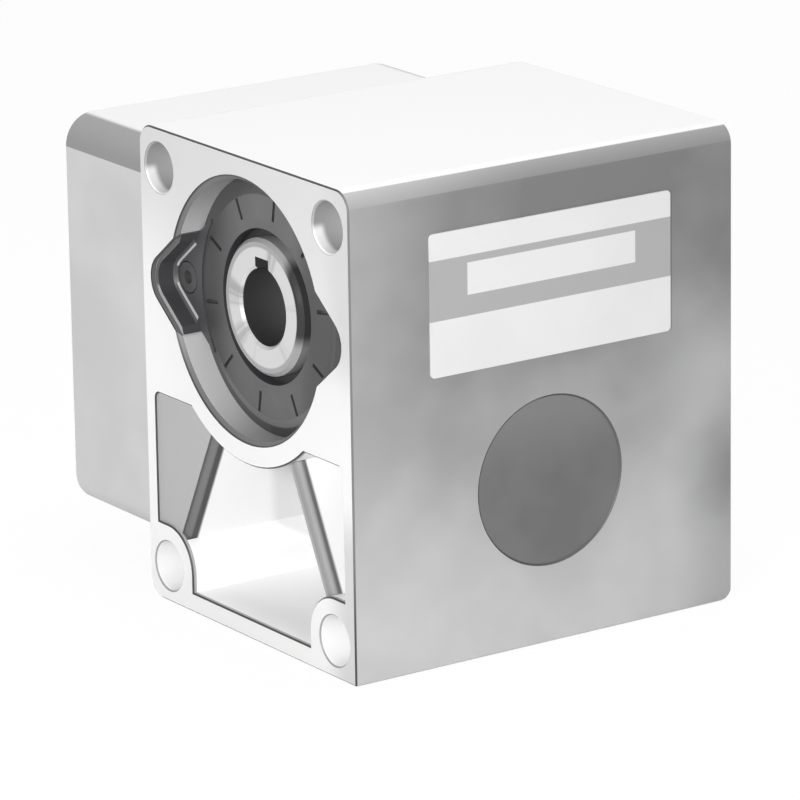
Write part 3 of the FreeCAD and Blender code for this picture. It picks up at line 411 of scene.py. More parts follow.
def machined_colour(tree, cast, point, facing, behind_front, to_axis):
    """The faces in bright metal, with painted shade on their upper half and a right strip and painted
    light low down and at the left; the recess wall is painted light and shade, shaded round from its
    left to its ends.
    """
    in_front = soft_step(tree, behind_front, FACE_DEPTH + FACE_BLUR, FACE_DEPTH - FACE_BLUR)
    rear = rear_y - FACE_DEPTH
    in_rear = soft_step(tree, point["Y"], rear - FACE_BLUR, rear + FACE_BLUR)
    motor = case_low.x + FACE_DEPTH
    at_motor = soft_step(tree, point["X"], motor + FACE_BLUR, motor - FACE_BLUR)
    faced = compute(tree, "MAXIMUM", compute(tree, "MAXIMUM", in_front, in_rear), at_motor)
    high = soft_step(tree, point["Z"], -FACE_TONE_REACH, FACE_TONE_REACH)
    bright = mix_colour(tree, high, FACE_LOWER, FACE_UPPER)
    ends = compute(tree, "MAXIMUM", soft_step(tree, point["Z"], *FACE_RIGHT_HIGH),
                   soft_step(tree, point["Z"], *FACE_RIGHT_LOW))
    on_right = all_of(tree, ends, soft_step(tree, point["X"], *FACE_RIGHT_ACROSS))
    bright = mix_colour(tree, on_right, bright, FACE_RIGHT)
    on_left = all_of(tree, soft_step(tree, point["X"], FACE_LEFT_FROM, -case_side),
                     opposite(tree, all_of(tree, high, high)))
    colour = mix_colour(tree, faced, cast, mix_colour(tree, on_left, bright, FACE_LEFT))
    bored = all_of(tree, soft_step(tree, to_axis, RECESS_EDGE + BLUR, RECESS_EDGE - BLUR),
                   opposite(tree, faced))
    turned_right = compute(tree, "MULTIPLY_ADD", facing["Z"], RECESS_UP_SHARE, facing["X"])
    wall = mix_colour(tree, soft_step(tree, turned_right, *RECESS_TURN), RECESS_SHADE, RECESS_LIGHT)
    return mix_colour(tree, bored, colour, wall), compute(tree, "MAXIMUM", faced, bored)


def edge_colour(tree, colour, point, facing, behind_front, to_axis):
    """Painted shade on the broken edges round the mounting face, the recess and the seats of the ears,
    darkest in a thin outer line.
    """
    level = compute(tree, "ABSOLUTE", facing["Y"])
    turned_away = soft_step(tree, level, *EDGE_AWAY_TURN)
    leaning = soft_step(tree, level, *EDGE_LEAN_TURN)
    close = soft_step(tree, behind_front, EDGE_DEPTH + BLUR, EDGE_DEPTH - BLUR)
    off_bore = soft_step(tree, to_axis, RECESS_BORE - BLUR, RECESS_BORE + BLUR)
    off_level = compute(tree, "ABSOLUTE", point["Z"])
    seat = all_of(tree, off_bore,
                  soft_step(tree, to_axis, EAR_SEAT_REACH + BLUR, EAR_SEAT_REACH - BLUR),
                  soft_step(tree, off_level, EAR_SEAT_HALF + BLUR, EAR_SEAT_HALF - BLUR))
    edge = all_of(tree, turned_away, close, compute(tree, "MAXIMUM", leaning, seat))
    outermost = soft_step(tree, behind_front, EDGE_LINE_DEPTH + BLUR, EDGE_LINE_DEPTH - BLUR)
    paler_line = all_of(tree, soft_step(tree, point["X"], *EDGE_PALER_ACROSS),
                  soft_step(tree, point["Z"], *EDGE_PALER_UP))
    line = mix_colour(tree, paler_line, EDGE_LINE, EDGE_LINE_PALER)
    return mix_colour(tree, edge, colour, mix_colour(tree, outermost, BROKEN_EDGE, line))


def cap_bore_colour(tree, colour, point, facing):
    """Painted shade on the wall of the bore for the end cap, next to the rubber pressed into it."""
    to_cap = radius_about(tree, point, "Y", "Z", cap_middle)
    near_cap = soft_step(tree, to_cap, cap_radius + CAP_SEAT + BLUR, cap_radius + CAP_SEAT - BLUR)
    wall = soft_step(tree, compute(tree, "ABSOLUTE", facing["X"]), *EDGE_AWAY_TURN)
    bottom = case_side - CAP_BORE_DEPTH
    shallow = soft_step(tree, point["X"], bottom - BLUR, bottom + BLUR)
    return mix_colour(tree, all_of(tree, near_cap, wall, shallow), colour, CAP_BORE_SHADE)


def holes_colour(tree, colour, point, facing, behind_front):
    """Painted shade inside the upper holes, paler deeper in, with painted light on their lower lip;
    painted light in the lower ones; each with a soft rim.
    """
    bore = pattern["dims"]["hole_r_mm"] * MM
    inside = soft_step(tree, behind_front, 0.0, HOLE_SHADE_DEPTH)
    off_face = soft_step(tree, behind_front, FACE_DEPTH - FACE_BLUR, FACE_DEPTH + FACE_BLUR)
    turned_up = soft_step(tree, facing["Z"], *HOLE_LIT_TURN)
    lit = all_of(tree, turned_up, soft_step(tree, behind_front, *HOLE_LIT_DEPTH))
    upper = mix_colour(tree, lit, mix_colour(tree, inside, HOLE_GREY, HOLE_DEEP), POCKET_PAINTED_LIGHT)
    upper_rim = mix_colour(tree, turned_up, HOLE_GREY, FACE_LOWER)
    for side in (-1, 1):
        for up, tone, rim in ((-1, POCKET_PAINTED_LIGHT, HOLE_RIM), (1, upper, upper_rim)):
            centre = (side * half_across, holes_middle + up * half_up)
            to_hole = radius_about(tree, point, "X", "Z", centre)
            in_rim = soft_step(tree, to_hole, bore + RIM_WIDTH + BLUR, bore + RIM_WIDTH)
            colour = mix_colour(tree, all_of(tree, in_rim, off_face), colour, rim)
            in_bore = soft_step(tree, to_hole, bore + BORE_BLUR, bore)
            colour = mix_colour(tree, in_bore, colour, tone)
    return colour


CAST_ROUGH = 0.50
MACHINED_SMOOTH = -0.14
BLOTCH_ROUGH = 0.06
CAST_RELIEF = (0.25, 0.03 * MM)


def case_finish():
    """The case's colours from the inside of the casting out to its machined edges."""
    material, tree, shader = new_finish("satin_die_casting", CAST_ROUGH, 0.0)
    where, point, facing = place_and_facing(tree)
    skin = use_group(tree, cast_skin, {"Point": where})
    behind_front = compute(tree, "SUBTRACT", point["Y"], front_y)
    to_axis = radius_about(tree, point, "X", "Z", (0, 0))
    cast = cast_colour(tree, skin, point, facing)
    cast = window_colour(tree, cast, point, facing, behind_front)
    colour, machined = machined_colour(tree, cast, point, facing, behind_front, to_axis)
    colour = edge_colour(tree, colour, point, facing, behind_front, to_axis)
    colour = cap_bore_colour(tree, colour, point, facing)
    colour = holes_colour(tree, colour, point, facing, behind_front)
    tree.links.new(colour, shader.inputs["Base Color"])
    smoother = compute(tree, "MULTIPLY_ADD", machined, MACHINED_SMOOTH, CAST_ROUGH)
    rough = compute(tree, "MULTIPLY_ADD", skin["Blotch"], BLOTCH_ROUGH, smoother)
    tree.links.new(rough, shader.inputs["Roughness"])
    bump(tree, shader, skin["Grain"], *CAST_RELIEF)
    return material


def dress(material, *names):
    """Give each named CAD node that one material."""
    for name in names:
        mesh = node[name].data
        mesh.materials.clear()
        mesh.materials.append(material)


dress(case_finish(), "gear_case")


# Worm shaft, first gear, keys and bearing rings: alloy steel, turned and ground, the gear
# hobbed. They are oiled and bright, and the tools have left fine marks on them.
GROUND_STEEL = (0.62, 0.625, 0.63, 1)
OILED_STEEL = (0.46, 0.465, 0.47, 1)
STEEL_ROUGH = 0.22
STEEL_MARK_ROUGH = 0.12
STEEL_BLOTCHES = 60.0
STEEL_RELIEF = (0.2, 0.01 * MM)
FULL_METAL = 1.0
LATHE_PITCH = 0.35 * MM
HAZE_SCALE = 420.0
HAZE_DETAIL = 2.0
HAZE_SHARE = 0.5
MARK_MIDDLE = 0.5
QUARTER = math.pi / 2
WORM_TURN = (0, QUARTER, 0)
WORM_MARK_SHIFT = (-37.0 * MM, 0, 0)
OUTPUT_TURN = (QUARTER, 0, 0)
NO_SHIFT = (0, 0, 0)


def make_cut_rings():
    """Cutter marks round a Z axis: the sine of the radius over the pitch, broken by noise."""
    group, takes, gives = new_group(
        "cut_rings",
        (("Point", "NodeSocketVector", None), ("Pitch", "NodeSocketFloat", LATHE_PITCH)),
        (("Mark", "NodeSocketFloat"),),
    )
    flat = add(group, "VectorMath", {0: takes["Point"], 1: (1, 1, 0)}, operation="MULTIPLY")
    radius = add(group, "VectorMath", {0: flat.outputs[0]}, operation="LENGTH")
    turns = compute(group, "DIVIDE", radius.outputs["Value"], takes["Pitch"])
    wave = compute(group, "SINE", compute(group, "MULTIPLY", turns, 2 * math.pi))
    haze = add(group, "TexNoise", {"Vector": takes["Point"], "Scale": HAZE_SCALE,
                                   "Detail": HAZE_DETAIL})
    half_haze = compute(group, "MULTIPLY", haze.outputs["Fac"], HAZE_SHARE)
    group.links.new(compute(group, "MULTIPLY_ADD", wave, half_haze, MARK_MIDDLE), gives["Mark"])
    return group


cut_rings = make_cut_rings()


def steel_finish(name, turn, shift):
    """Bright steel with cutter marks, whose pattern is first turned and then shifted."""
    material, tree, shader = new_finish(name, STEEL_ROUGH, FULL_METAL)
    where = add(tree, "TexCoord").outputs["Object"]
    mapping = add(tree, "Mapping", {"Vector": where, "Location": shift, "Rotation": turn})
    rings = use_group(tree, cut_rings, {"Point": mapping.outputs[0]})
    skin = use_group(tree, cast_skin, {"Point": where, "Blotch Scale": STEEL_BLOTCHES})
    colour = mix_colour(tree, skin["Blotch"], OILED_STEEL, GROUND_STEEL)
    tree.links.new(colour, shader.inputs["Base Color"])
    rough = compute(tree, "MULTIPLY_ADD", rings["Mark"], STEEL_MARK_ROUGH, STEEL_ROUGH)
    tree.links.new(rough, shader.inputs["Roughness"])
    bump(tree, shader, rings["Mark"], *STEEL_RELIEF)
    return material


dress(steel_finish("worm_steel", WORM_TURN, WORM_MARK_SHIFT),
      "worm_shaft", "input_gear", "gear_key", "end_bearing_outer", "end_bearing_inner",
      "input_bearing_outer", "input_bearing_inner")
dress(steel_finish("output_steel", OUTPUT_TURN, NO_SHIFT),
      "wheel_key", "front_bearing_outer", "front_bearing_inner", "rear_bearing_outer",
      "rear_bearing_inner")


# Retaining rings: spring steel strip, stamped and phosphated, so they are dark and even.
# Each snaps into a groove beside the piece that it holds.
PHOSPHATE_DARK = (0.05, 0.05, 0.052, 1)
PHOSPHATE_GREY = (0.10, 0.10, 0.10, 1)
PHOSPHATE_SKIN = {"Blotch Scale": 140.0, "Grain Scale": 3200.0}
PHOSPHATE_ROUGH = 0.5
PHOSPHATE_METAL = 0.7


def two_tone_metal(name, dark, light, scales, roughness, metallic):
    """Metal blotched in two tones, with a fine grain."""
    material, tree, shader = new_finish(name, roughness, metallic)
    where = add(tree, "TexCoord").outputs["Object"]
    skin = use_group(tree, cast_skin, {"Point": where, **scales})
    colour = mix_colour(tree, skin["Blotch"], dark, light)
    tree.links.new(colour, shader.inputs["Base Color"])
    bump(tree, shader, skin["Grain"], *STEEL_RELIEF)
    return material


dress(two_tone_metal("phosphated_spring_steel", PHOSPHATE_DARK, PHOSPHATE_GREY, PHOSPHATE_SKIN,
                     PHOSPHATE_ROUGH, PHOSPHATE_METAL),
      "wheel_circlip", "gear_circlip", "end_bearing_circlip")


# Worm wheel: cast bronze with hobbed teeth, keyed to the hollow shaft and held by a
# retaining ring. It runs in oil inside the case.
BRONZE_DARK = (0.55, 0.36, 0.15, 1)
BRONZE_LIGHT = (0.72, 0.52, 0.26, 1)
BRONZE_SKIN = {"Blotch Scale": 70.0}
BRONZE_ROUGH = 0.3
dress(two_tone_metal("hobbed_bronze", BRONZE_DARK, BRONZE_LIGHT, BRONZE_SKIN, BRONZE_ROUGH, FULL_METAL),
      "worm_wheel")


# Hollow shaft: turned steel tube with a keyway along its bore. Its end face is bright and carries the
# lathe's rings, darker radial streaks of painted reflection, and painted shade on the right of its rim;
# the bore is dark, darkest at its mouth.
SHAFT_BRIGHT = (0.55, 0.55, 0.548, 1)
SHAFT_GREY = (0.59, 0.59, 0.59, 1)
# Painted reflection: darker radial streaks on the end face.
SHAFT_REFLECTION_STREAK = (0.23, 0.23, 0.232, 1)
SHAFT_RIM = (0.32, 0.32, 0.322, 1)
# Painted shade on the right side of the shaft's rim.
SHAFT_RIM_SHADE = (0.05, 0.05, 0.052, 1)
# The bore and keyway are dark, darkest at the mouth.
BORE_MOUTH = (0.045, 0.045, 0.047, 1)
BORE_DEEP = (0.115, 0.115, 0.115, 1)
SHAFT_METAL = 0.1
SHAFT_RELIEF = (0.25, 0.015 * MM)
SHAFT_PITCH = 0.45 * MM
SHAFT_ROUGH = 0.25
SHAFT_MARK_ROUGH = 0.15
SHAFT_GLOSS = 0.5
BRIGHT_WIDTH = 4.6 * MM
SHAFT_RIM_BLUR = 0.2 * MM
KEYWAY_REACH = 3.1 * MM
BORE_WALL_TURN = (0.5, 0.3)
DARK_RIM_ACROSS = (7.5 * MM, 11.0 * MM)
DARK_RIM_UP = (-7.0 * MM, -3.0 * MM)
BORE_SHADE_FROM = 1.0 * MM
BORE_SHADE_FULL = 14.0 * MM
STREAK_COUNT = 2.6
STREAK_DETAIL = 4.0
STREAK_EDGES = (0.50, 0.68)
STREAK_SHARE = 0.7


def reflection_streaks(tree, point):
    """Painted reflection: darker streaks that run outwards, noise on the direction from the axis, not on
    the radius.
    """
    across = add(tree, "CombineXYZ", {0: point["X"], 2: point["Z"]})
    outwards = add(tree, "VectorMath", {0: across.outputs[0]}, operation="NORMALIZE")
    noise = add(tree, "TexNoise", {"Vector": outwards.outputs[0], "Scale": STREAK_COUNT,
                                   "Detail": STREAK_DETAIL})
    streak = soft_step(tree, noise.outputs["Fac"], *STREAK_EDGES)
    return compute(tree, "MULTIPLY", streak, STREAK_SHARE)


def hollow_shaft_finish():
    """A bright end face with rings, painted reflection streaks and a duller rim with painted shade at
    its right, and a dark bore, darkest at its mouth.
    """
    material, tree, shader = new_finish("bright_hollow_shaft", SHAFT_ROUGH, SHAFT_METAL)
    where, point, facing = place_and_facing(tree)
    mapping = add(tree, "Mapping", {"Vector": where, "Rotation": OUTPUT_TURN})
    rings = use_group(tree, cut_rings, {"Point": mapping.outputs[0], "Pitch": SHAFT_PITCH})
    bore = mounts["hollow_bore"]["dims"]["r_mm"] * MM
    radius = radius_about(tree, point, "X", "Z", (0, 0))
    turned = mix_colour(tree, rings["Mark"], SHAFT_GREY, SHAFT_BRIGHT)
    turned = mix_colour(tree, reflection_streaks(tree, point), turned, SHAFT_REFLECTION_STREAK)
    bright_edge = bore + BRIGHT_WIDTH
    shaded_rim_side = all_of(tree, soft_step(tree, point["X"], *DARK_RIM_ACROSS),
                  soft_step(tree, point["Z"], *DARK_RIM_UP))
    rim = mix_colour(tree, shaded_rim_side, SHAFT_RIM, SHAFT_RIM_SHADE)
    on_rim = soft_step(tree, radius, bright_edge - SHAFT_RIM_BLUR, bright_edge + SHAFT_RIM_BLUR)
    turned = mix_colour(tree, on_rim, turned, rim)
    outside_rim_shade = opposite(tree, all_of(tree, shaded_rim_side, on_rim))
    tree.links.new(compute(tree, "MULTIPLY", outside_rim_shade, SHAFT_GLOSS), shader.inputs["Specular IOR Level"])
    side_on = soft_step(tree, compute(tree, "ABSOLUTE", facing["Y"]), *BORE_WALL_TURN)
    keyway = bore + KEYWAY_REACH
    on_bore_wall = all_of(tree, soft_step(tree, radius, keyway + BLUR, keyway - BLUR), side_on)
    depth = compute(tree, "SUBTRACT", point["Y"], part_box("hollow_shaft")[0].y)
    deep = soft_step(tree, depth, BORE_SHADE_FROM, BORE_SHADE_FULL)
    bore_tone = mix_colour(tree, deep, BORE_MOUTH, BORE_DEEP)
    tree.links.new(mix_colour(tree, on_bore_wall, turned, bore_tone), shader.inputs["Base Color"])
    rough = compute(tree, "MULTIPLY_ADD", rings["Mark"], SHAFT_MARK_ROUGH, SHAFT_ROUGH)
    tree.links.new(rough, shader.inputs["Roughness"])
    bump(tree, shader, rings["Mark"], *SHAFT_RELIEF)
    return material


dress(hollow_shaft_finish(), "hollow_shaft")


# Oil seals: black nitrile rubber rings round the hollow shaft, moulded and slightly dusty,
# pressed into the cover in front and into the case behind.
SEAL_DARK = (0.012, 0.012, 0.013, 1)
SEAL_DUSTY = (0.022, 0.022, 0.023, 1)
SEAL_ROUGH = 0.55
DULL_SKIN = {"Blotch Scale": 55.0, "Grain Scale": 2600.0}
DULL_GRAIN_ROUGH = 0.12
DULL_RELIEF = (0.3, 0.02 * MM)


def dull_skin(name, dark, light, roughness):
    """A dull, grained skin in two tones: the material, its tree and shader, the point and the colour."""
    material, tree, shader = new_finish(name, roughness, 0.0)
    where, point = place_and_facing(tree)[:2]
    skin = use_group(tree, cast_skin, {"Point": where, **DULL_SKIN})
    smooth = roughness - DULL_GRAIN_ROUGH / 2
    rough = compute(tree, "MULTIPLY_ADD", skin["Grain"], DULL_GRAIN_ROUGH, smooth)
    tree.links.new(rough, shader.inputs["Roughness"])
    bump(tree, shader, skin["Grain"], *DULL_RELIEF)
    colour = mix_colour(tree, skin["Blotch"], dark, light)
    tree.links.new(colour, shader.inputs["Base Color"])
    return material, tree, shader, point, colour


dress(dull_skin("seal_rubber", SEAL_DARK, SEAL_DUSTY, SEAL_ROUGH)[0], "front_oil_seal", "rear_oil_seal")


# Front bearing cover: moulded in dark grey, with ten short slots round the shaft and two
# ears shaped as cups, which a screw each holds down into the case.
COVER_GREY = (0.081, 0.081, 0.083, 1)
COVER_PALE = (0.109, 0.109, 0.111, 1)
# Painted shade towards both sides of the cover, and painted light on the lower part of its rim.
COVER_LEFT_SHADE = (0.034, 0.034, 0.036, 1)
COVER_RIGHT_SHADE = (0.048, 0.048, 0.05, 1)
COVER_RIM = (0.056, 0.056, 0.058, 1)
COVER_RIM_LOW_LIGHT = (0.14, 0.14, 0.142, 1)
# Painted shade: the right ear is darker than the left.
LEFT_EAR = (0.057, 0.057, 0.060, 1)
RIGHT_EAR = (0.037, 0.037, 0.039, 1)
EAR_WALL = (0.051, 0.051, 0.056, 1)
RIM_GREY = (0.11, 0.11, 0.112, 1)
# Painted highlight on the feet of the cup walls and on the left cup's lower rim.
EDGE_HIGHLIGHT = (0.40, 0.395, 0.39, 1)
COVER_FACE_EDGE = 24.4 * MM
COVER_SHADE_ACROSS = (-10.0 * MM, -22.0 * MM)
COVER_RIGHT_ACROSS = (9.0 * MM, 18.0 * MM)
COVER_RIM_DROP = (-14.0 * MM, -22.0 * MM)
EAR_ROOT = 26.2 * MM
EAR_ROOT_BLUR = 0.2 * MM
EAR_LEFT_BLUR = 1.0 * MM
EAR_WALL_TURN = (0.5, 0.3)
EAR_FOOT_STEEP = (0.5, 0.6)
EAR_FOOT_LEVEL = (0.85, 0.8)
EAR_FOOT_DEPTH = 5.45 * MM
EAR_TIP_HALF = 1.9 * MM
EAR_TIP_BLUR = 0.3 * MM
LOWER_RIM = -2.0 * MM
LOWER_RIM_BLUR = 0.5 * MM
COVER_RIM_BLUR = 0.2 * MM
COVER_ROUGH = 0.36
COVER_GRAIN_ROUGH = 0.14
COVER_SKIN = {"Blotch Scale": 48.0, "Grain Scale": 2400.0}
COVER_RELIEF = (0.2, 0.02 * MM)
cover_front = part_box("front_bearing_cover")[0].y


def ear_colour(tree, colour, point, facing, radius):
    """The cups are darker than the cover, with painted shade making the right one darker than the left.
    The feet of their walls carry a painted highlight, and so does the lower edge of the left one."""
    in_ear = soft_step(tree, radius, EAR_ROOT - EAR_ROOT_BLUR, EAR_ROOT + EAR_ROOT_BLUR)
    on_left = soft_step(tree, point["X"], 0.0, -EAR_LEFT_BLUR)
    plate = mix_colour(tree, on_left, RIGHT_EAR, LEFT_EAR)
    colour = mix_colour(tree, in_ear, colour, plate)
    level = compute(tree, "ABSOLUTE", facing["Y"])
    colour = mix_colour(tree, soft_step(tree, level, *EAR_WALL_TURN), colour, EAR_WALL)
    depth = front_y + EAR_FOOT_DEPTH
    off_tip = soft_step(tree, compute(tree, "ABSOLUTE", point["Z"]), EAR_TIP_HALF - EAR_TIP_BLUR,
                        EAR_TIP_HALF + EAR_TIP_BLUR)
    foot = all_of(tree, soft_step(tree, level, *EAR_FOOT_STEEP), soft_step(tree, level, *EAR_FOOT_LEVEL),
                  soft_step(tree, point["Y"], depth - BLUR / 2, depth + BLUR / 2), in_ear, off_tip)
    colour = mix_colour(tree, foot, colour, EDGE_HIGHLIGHT)
    top = cover_front + FACE_DEPTH
    at_rim = soft_step(tree, point["Y"], top + FACE_BLUR, top - FACE_BLUR)
    below = soft_step(tree, point["Z"], LOWER_RIM + LOWER_RIM_BLUR, LOWER_RIM - LOWER_RIM_BLUR)
    rim = mix_colour(tree, on_left, RIGHT_EAR, mix_colour(tree, below, RIM_GREY, EDGE_HIGHLIGHT))
    return mix_colour(tree, at_rim, colour, rim)


def cover_finish():
    """Dark grey, with painted shade towards both sides and painted light on the lower part of its rim.
    """
    material, tree, shader = new_finish("dark_cover", COVER_ROUGH, 0.0)
    where, point, facing = place_and_facing(tree)
    skin = use_group(tree, cast_skin, {"Point": where, **COVER_SKIN})
    colour = mix_colour(tree, skin["Blotch"], COVER_GREY, COVER_PALE)
    radius = radius_about(tree, point, "X", "Z", (0, 0))
    colour = mix_colour(tree, soft_step(tree, point["X"], *COVER_SHADE_ACROSS), colour, COVER_LEFT_SHADE)
    colour = mix_colour(tree, soft_step(tree, point["X"], *COVER_RIGHT_ACROSS), colour, COVER_RIGHT_SHADE)
    on_rim = soft_step(tree, radius, COVER_FACE_EDGE - COVER_RIM_BLUR, COVER_FACE_EDGE + COVER_RIM_BLUR)
    rim = mix_colour(tree, soft_step(tree, point["Z"], *COVER_RIM_DROP), COVER_RIM, COVER_RIM_LOW_LIGHT)
    colour = mix_colour(tree, on_rim, colour, rim)
    tree.links.new(ear_colour(tree, colour, point, facing, radius), shader.inputs["Base Color"])
    rough = compute(tree, "MULTIPLY_ADD", skin["Grain"], COVER_GRAIN_ROUGH, COVER_ROUGH)
    tree.links.new(rough, shader.inputs["Roughness"])
    bump(tree, shader, skin["Grain"], *COVER_RELIEF)
    return material


dress(cover_finish(), "front_bearing_cover")


# Cover screws: blackened steel socket screws, sunk into the ears and down into the case.
# Their skin is as even as the rubber's, and a little smoother.
SCREW_BLACK = (0.062, 0.062, 0.064, 1)
SCREW_WORN = (0.082, 0.082, 0.084, 1)
SCREW_ROUGH = 0.4
dress(dull_skin("blackened_screws", SCREW_BLACK, SCREW_WORN, SCREW_ROUGH)[0], "front_cover_screws")


# End cap: a rubber plug pressed into the worm's bore, flush with the side of the case. Its edge carries
# a painted highlight on the half towards the mounting side and painted shade on the other.
CAP_DARK = (0.122, 0.122, 0.123, 1)
CAP_LIGHT = (0.15, 0.15, 0.151, 1)
# Painted light towards the top of the cap.
CAP_TOP = (0.185, 0.185, 0.186, 1)
# Painted highlight and painted shade on the two halves of the cap's edge.
CAP_EDGE_HIGHLIGHT = (0.50, 0.50, 0.50, 1)
CAP_EDGE_SHADE = (0.05, 0.05, 0.051, 1)
CAP_ROUGH = 0.6


def cap_finish():
    """Rubber with painted light towards its top, and an edge with a painted highlight and painted shade.
    """
    material, tree, shader, point, colour = dull_skin("cap_rubber", CAP_DARK, CAP_LIGHT, CAP_ROUGH)
    upwards = soft_step(tree, point["Z"], cap_middle[1], cap_high.z)
    colour = mix_colour(tree, upwards, colour, CAP_TOP)
    off_face = cap_high.x - FACE_DEPTH
    on_edge = soft_step(tree, point["X"], off_face + FACE_BLUR, off_face - FACE_BLUR)
    rear_half = soft_step(tree, point["Y"], cap_low.y / 2, cap_high.y / 2)
    edge = mix_colour(tree, rear_half, CAP_EDGE_HIGHLIGHT, CAP_EDGE_SHADE)
    tree.links.new(mix_colour(tree, on_edge, colour, edge), shader.inputs["Base Color"])
    return material


dress(cap_finish(), "end_cap")


# Rating plate: a thin white plate glued to the side, printed with one grey band that leaves
# a white panel open in its middle. The print is a thin layer on the white.
PLATE_WHITE = (0.765, 0.765, 0.762, 1)
PLATE_WORN = (0.735, 0.735, 0.735, 1)
PLATE_GREY = (0.4, 0.4, 0.4, 1)
PLATE_ROUGH = 0.33
PLATE_GRAIN_ROUGH = 0.1
PLATE_METAL = 0.1
PLATE_SKIN = {"Blotch Scale": 40.0, "Grain Scale": 2800.0}
PRINT_GRAIN_SHARE = 0.3
PRINT_RELIEF = (0.2, 0.02 * MM)
GREY_BAND = (12.2 * MM, 25.3 * MM)
PANEL_HEIGHTS = (16.7 * MM, 23.7 * MM)
PANEL_ENDS = (9.5 * MM, 53.2 * MM)
PRINT_EDGE = 0.06 * MM
plate_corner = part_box("rating_plate")[0]


def between(tree, value, ends):
    """1 between the two ends, with edges that are soft over the print's edge."""
    low, high = ends
    after = soft_step(tree, value, low - PRINT_EDGE, low + PRINT_EDGE)
    before = soft_step(tree, value, high + PRINT_EDGE, high - PRINT_EDGE)
    return all_of(tree, after, before)


def plate_finish():
    """White with a grey band, measured from the plate's lower front corner."""
    material, tree, shader = new_finish("printed_plate", PLATE_ROUGH, PLATE_METAL)
    where, point = place_and_facing(tree)[:2]
    across = compute(tree, "SUBTRACT", point["Y"], plate_corner.y)
    up = compute(tree, "SUBTRACT", point["Z"], plate_corner.z)
    panel = all_of(tree, between(tree, up, PANEL_HEIGHTS), between(tree, across, PANEL_ENDS))
    printed = all_of(tree, between(tree, up, GREY_BAND), opposite(tree, panel))
    skin = use_group(tree, cast_skin, {"Point": where, **PLATE_SKIN})
    white = mix_colour(tree, skin["Blotch"], PLATE_WORN, PLATE_WHITE)
    tree.links.new(mix_colour(tree, printed, white, PLATE_GREY), shader.inputs["Base Color"])
    rough = compute(tree, "MULTIPLY_ADD", skin["Grain"], PLATE_GRAIN_ROUGH, PLATE_ROUGH)
    tree.links.new(rough, shader.inputs["Roughness"])
    height = compute(tree, "MULTIPLY_ADD", skin["Grain"], PRINT_GRAIN_SHARE, printed)
    bump(tree, shader, height, *PRINT_RELIEF)
    return material


dress(plate_finish(), "rating_plate")


# Floor: a plain white sheet under the case that keeps a faint shadow, and a white world.
# Both show as white to the eye and to polished metal, and the world lights the part weakly.
FLOOR_REACH = 12.0
FLOOR_GAP = 0.05 * MM
FLOOR_SHOWN_WHITE = 0.955
SHEET_WHITE = (0.9, 0.9, 0.9, 1)
SHEET_ROUGH = 0.9
WHITE_GLOW = 1.0
PURE_WHITE = (1, 1, 1, 1)
WORLD_FILL = 0.10


def seen_rays(tree):
    """1 for rays from the camera and for rays that metal or glass sends on."""
    path = add(tree, "LightPath").outputs
    glossy = compute(tree, "MAXIMUM", path["Is Glossy Ray"], path["Is Transmission Ray"])
    return compute(tree, "MAXIMUM", path["Is Camera Ray"], glossy)


def make_floor():
    """One wide square just under the case's bottom."""
    corners = [(-FLOOR_REACH, -FLOOR_REACH), (FLOOR_REACH, -FLOOR_REACH),
               (FLOOR_REACH, FLOOR_REACH), (-FLOOR_REACH, FLOOR_REACH)]
    mesh = bpy.data.meshes.new("floor")
    mesh.from_pydata([(x, y, cad_box[0][2] - FLOOR_GAP) for x, y in corners], [], [(0, 1, 2, 3)])
    floor = bpy.data.objects.new("floor", mesh)
    bpy.context.scene.collection.objects.link(floor)
    material, tree, shader = new_finish("white_sheet", SHEET_ROUGH, 0.0)
    shader.inputs["Base Color"].default_value = SHEET_WHITE
    shown = compute(tree, "MULTIPLY", seen_rays(tree), FLOOR_SHOWN_WHITE)
    glow = add(tree, "Emission", {"Color": PURE_WHITE, "Strength": WHITE_GLOW})
    mixed = add(tree, "MixShader", {0: shown, 1: shader.outputs[0], 2: glow.outputs[0]})
    tree.links.new(mixed.outputs[0], tree.nodes["Material Output"].inputs["Surface"])
    mesh.materials.append(material)


def make_world():
    """White to rays that are seen, and a weak fill to all others."""
    world = bpy.data.worlds.new("white_studio")
    bpy.context.scene.world = world
    world.use_nodes = True
    sky = world.node_tree
    background = sky.nodes["Background"]
    background.inputs["Color"].default_value = PURE_WHITE
    strength = compute(sky, "MULTIPLY_ADD", seen_rays(sky), WHITE_GLOW - WORLD_FILL, WORLD_FILL)
    sky.links.new(strength, background.inputs["Strength"])


make_floor()
make_world()


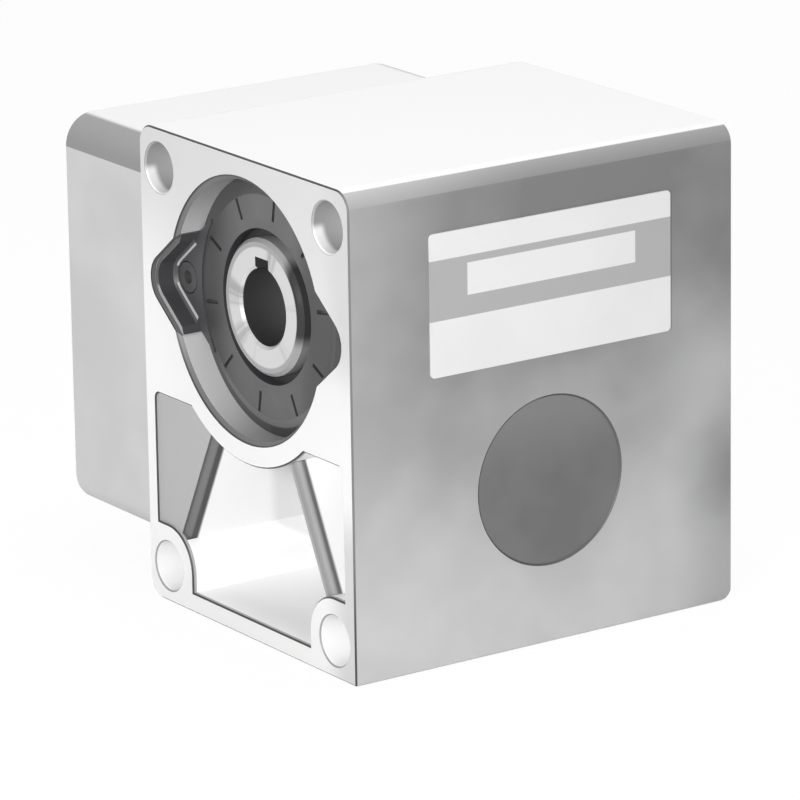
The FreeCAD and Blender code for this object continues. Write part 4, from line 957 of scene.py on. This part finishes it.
# Lights: three soft disks. The key stands in front and to the right, a wide one hangs overhead,
# and a faint one far out on the right fills the side.
KEY = {"at": (0.56, -0.72, 0.28), "towards": (0, 0, -0.03), "size": 0.18, "power": 7.5}
OVERHEAD = {"at": (0.0, 0.05, 0.75), "towards": (0, 0, 0), "size": 0.5, "power": 5.0}
SIDE = {"at": (0.90, -0.34, 0.34), "towards": (0.04, 0, -0.02), "size": 0.5, "power": 0.45}


def area_light(name, at, towards, size, power):
    """A disk lamp, in metres and watts, aimed from one point at another."""
    lamp = bpy.data.lights.new(name, "AREA")
    lamp.shape = "DISK"
    lamp.size = size
    lamp.energy = power
    holder = bpy.data.objects.new(name, lamp)
    bpy.context.scene.collection.objects.link(holder)
    aim = Vector(towards) - Vector(at)
    holder.matrix_world = Matrix.Translation(at) @ aim.to_track_quat("-Z", "Y").to_matrix().to_4x4()


area_light("key", **KEY)
area_light("overhead", **OVERHEAD)
area_light("side", **SIDE)


# Camera: the photograph's eye point and its turn, with a long lens. Its right and up
# directions are level ones rolled about the line of sight.
EYE = Vector((1016.33, -704.75, 329.73)) * MM
AZIMUTH = math.radians(55.682)
ELEVATION = math.radians(16.149)
ROLL = math.radians(-0.882)
LENS = 265.6
SENSOR = 36.0
FARTHEST = 50.0


def place_camera():
    """The eye looks along the given azimuth and elevation, and then rolls."""
    camera = bpy.data.cameras.new("camera")
    camera.lens = LENS
    camera.sensor_width = SENSOR
    camera.clip_end = FARTHEST
    viewer = bpy.data.objects.new("camera", camera)
    bpy.context.scene.collection.objects.link(viewer)
    flat = math.cos(ELEVATION)
    back = Vector((math.sin(AZIMUTH) * flat, -math.cos(AZIMUTH) * flat, math.sin(ELEVATION)))
    level_right = Vector((0, 0, 1)).cross(back).normalized()
    level_up = back.cross(level_right)
    right = level_right * math.cos(ROLL) + level_up * math.sin(ROLL)
    up = level_up * math.cos(ROLL) - level_right * math.sin(ROLL)
    viewer.matrix_world = Matrix.Translation(EYE) @ Matrix((right, up, back)).transposed().to_4x4()
    bpy.context.scene.camera = viewer


place_camera()
bpy.context.scene.view_settings.view_transform = "Standard"
